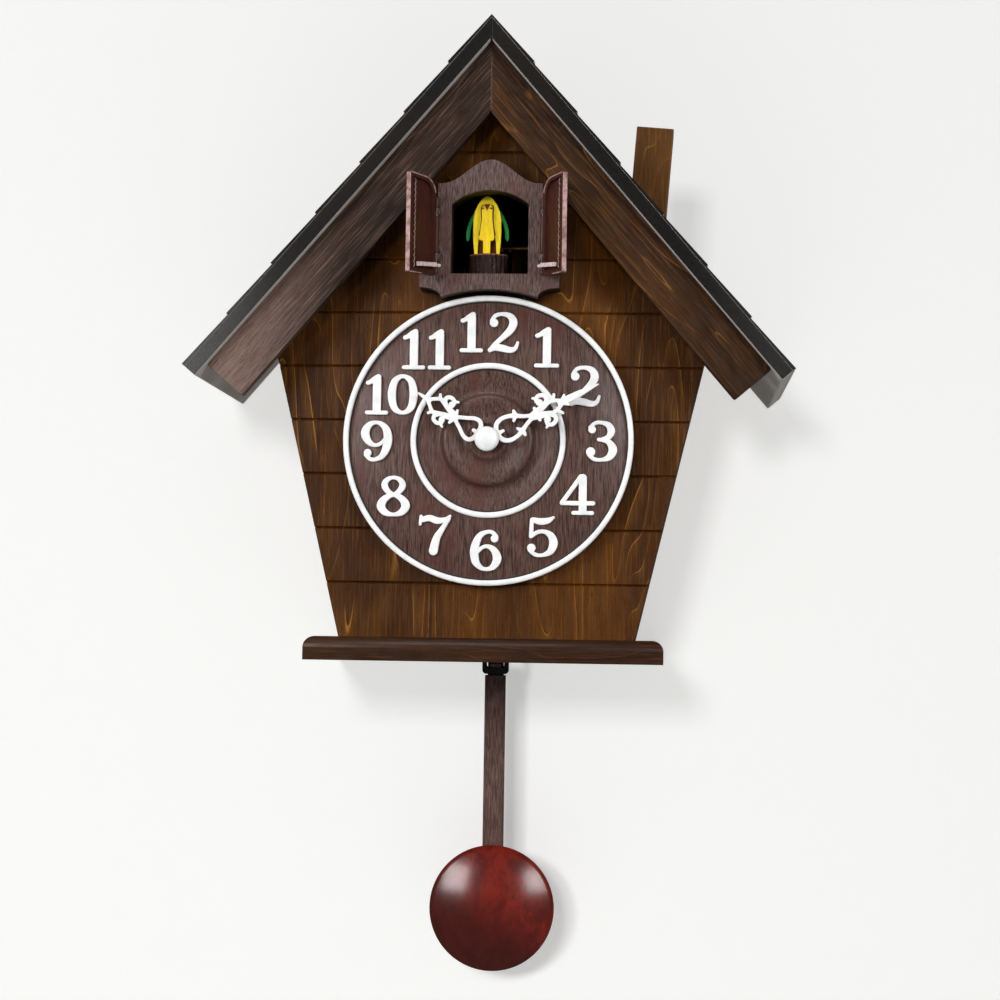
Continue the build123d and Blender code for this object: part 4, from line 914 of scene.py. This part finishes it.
def make_bird_shading():
    """A brown sheet of painted shade in the hollow between the bird's tails, and brown lines beside its breast."""
    low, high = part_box("bird_breast")
    middle = (low.x + high.x) / 2
    foot = low.z
    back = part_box("bird_body")[1].y - 0.2 * MM
    # Painted shade: a brown sheet behind the hollow between the tails, where the inside is in shade.
    hollow = [(-5.2, 0.3), (5.2, 0.3), (4.6, 8.0), (3.2, 15.0), (-3.2, 15.0), (-4.6, 8.0)]
    outline = [(middle + x * MM, foot + z * MM) for x, z in hollow]
    sheet = bpy.data.meshes.new("bird_hollow")
    count = len(outline)
    verts = [(x, back - 1.4 * MM, z) for x, z in outline] + [(x, back, z) for x, z in outline]
    faces = [list(range(count)), list(range(2 * count - 1, count - 1, -1))]
    faces += [[i, i + count, (i + 1) % count + count, (i + 1) % count] for i in range(count)]
    sheet.from_pydata(verts, [], faces)
    hand_over(linked("bird_hollow", sheet, "bird_brown"), "bird", "yellow_plastic")
    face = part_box("bird_body")[0].y
    lines = []
    for side in (-1, 1):
        way = [(2.0, 27.4), (3.0, 27.0), (3.3, 25.6), (3.3, 19.0), (3.7, 14.0), (4.3, 10.5)]
        widths = [0.8, 1.1, 1.1, 0.7, 1.2, 1.8]
        lines.append([((middle + side * x * MM, face, foot + z * MM), w) for (x, z), w in zip(way, widths)])
    hand_over(tube("bird_lines", lines, LINE_R, "bird_brown"), "bird", "yellow_plastic")


def make_hanger_cup():
    """A blind cup behind the hanging hole, for the head of the wall screw."""
    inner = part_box("back_panel")[0].y
    shape = [(0, -6.0), (5.3, -6.0), (5.3, 0), (6.5, 0), (6.5, -7.0), (0, -7.0)]
    cup = turned("hanger_cup", [(r * MM, inner + y * MM) for r, y in shape], (0, 0), "black_plastic", 48)
    hand_over(cup, "case", "black_plastic")


# ---- stage --------------------------------------------------------------------------------------
WALL_GLOW = 0.37
WALL_Y = 0.001
FLOOR_Z = -1.3
REACH = 3.0
WORLD_LIGHT = 0.1
WORLD_SEEN = 0.85
LENS = 82.665
CAMERA_PLACE = (0.08833, -1.3736, -0.26173)
CAMERA_TURN, CAMERA_TILT, CAMERA_ROLL = (math.radians(angle) for angle in (3.73, 93.627, 0.883))


def plane(name, corners, material):
    mesh = bpy.data.meshes.new(name)
    mesh.from_pydata(corners, [], [range(len(corners))])
    mesh.materials.append(material)
    sheet = bpy.data.objects.new(name, mesh)
    bpy.context.collection.objects.link(sheet)
    return sheet


def one_sided_wall():
    """A pale wall that hides nothing from behind."""
    s = Shade("wall_paint", Roughness=0.9, Specular_IOR_Level=0.1, Base_Color=srgb(226, 226, 225))
    s.shader.inputs["Emission Color"].default_value = srgb(255, 255, 253)
    s.shader.inputs["Emission Strength"].default_value = WALL_GLOW
    clear = s.node("BsdfTransparent")
    choose = s.node("MixShader")
    facing = s.node("NewGeometry")
    output = s.tree.nodes["Material Output"]
    s.feed(choose.inputs[0], facing.outputs["Backfacing"])
    s.feed(choose.inputs[1], s.shader.outputs[0])
    s.feed(choose.inputs[2], clear.outputs[0])
    s.feed(output.inputs["Surface"], choose.outputs[0])
    return s.material


def soft_light(name, place, target, size, power):
    data = bpy.data.lights.new(name, "AREA")
    data.shape = "SQUARE"
    data.size = size
    data.energy = power
    lamp = bpy.data.objects.new(name, data)
    lamp.location = place
    lamp.rotation_mode = "QUATERNION"
    lamp.rotation_quaternion = (Vector(target) - Vector(place)).to_track_quat("-Z", "Y")
    bpy.context.collection.objects.link(lamp)
    return lamp


def make_backdrop():
    """The wall, which throws no shadow or bounced light, and the floor."""
    square = [(-REACH, -REACH), (REACH, -REACH), (REACH, REACH), (-REACH, REACH)]
    wall = plane("wall", [(x, WALL_Y, z) for x, z in square], one_sided_wall())
    wall.visible_shadow = False
    wall.visible_diffuse = False
    wall.visible_glossy = False
    floor_paint = Shade("floor_paint", Roughness=0.9, Base_Color=srgb(225, 225, 222)).material
    floor = plane("floor", [(x, y, FLOOR_Z) for x, y in square], floor_paint)
    floor.visible_glossy = False
    return wall


def light_group(name, things):
    group = bpy.data.collections.new(name)
    bpy.context.scene.collection.children.link(group)
    for thing in things:
        group.objects.link(thing)
    return group


def make_lights(wall):
    """Lights for the clock, one for everything, and one that throws the pendulum's shadow on the wall."""
    middle = (0, -0.1, -0.2)
    bob = (0, -0.04, -0.4)
    on_clock = [
        soft_light("key", (-1.12, -1.33, 0.24), bob, 0.74, 19),
        soft_light("fill", (1.12, -1.34, 0.2), bob, 0.62, 13),
        soft_light("top", (-0.25, -1.0, 1.5), middle, 0.6, 12),
        soft_light("behind", (0.5, 1.6, 0.5), middle, 0.8, 16),
    ]
    front = soft_light("front", (-0.42, -3.2, 0.35), middle, 0.42, 27)
    wash = soft_light("wall_wash", (-0.8, -2.9, 0.15), bob, 0.34, 25)
    for lamp in (on_clock[-1], front, wash):
        lamp.visible_glossy = False
    solid = [thing for thing in bpy.context.scene.objects if thing.type in ("MESH", "CURVE")]
    lit = light_group("lit", [thing for thing in solid if thing != wall])
    for lamp in on_clock:
        lamp.light_linking.receiver_collection = lit
    pendulum = [bpy.data.objects[name] for name in ("bob_dome", "pendulum_rod", "pendulum_hanger")]
    wash.light_linking.receiver_collection = light_group("wall_only", [wall])
    wash.light_linking.blocker_collection = light_group("hanging", pendulum)


def make_world():
    """A dim world that looks pale to the camera."""
    world = bpy.data.worlds.new("studio")
    world.use_nodes = True
    tree = world.node_tree
    background = tree.nodes["Background"]
    background.inputs[0].default_value = srgb(250, 250, 248)
    strength = tree.nodes.new("ShaderNodeMapRange")
    strength.inputs["To Min"].default_value = WORLD_LIGHT
    strength.inputs["To Max"].default_value = WORLD_SEEN
    seen = tree.nodes.new("ShaderNodeLightPath")
    tree.links.new(seen.outputs["Is Camera Ray"], strength.inputs["Value"])
    tree.links.new(strength.outputs[0], background.inputs[1])
    bpy.context.scene.world = world
    bpy.context.scene.view_settings.view_transform = "Standard"


def make_camera():
    data = bpy.data.cameras.new("camera")
    data.lens = LENS
    data.sensor_width = 36
    data.clip_start = 0.05
    camera = bpy.data.objects.new("camera", data)
    turn = Matrix.Rotation(CAMERA_TURN, 4, "Z") @ Matrix.Rotation(CAMERA_TILT, 4, "X")
    camera.matrix_world = Matrix.Translation(CAMERA_PLACE) @ turn @ Matrix.Rotation(CAMERA_ROLL, 4, "Z")
    bpy.context.collection.objects.link(camera)
    bpy.context.scene.camera = camera


make_camera()
dress_cad()
make_dial()
make_dial_plate()
make_hands()
make_shutter_rims()
make_bird_shading()
make_hanger_cup()
make_bob()
make_lights(make_backdrop())
make_world()
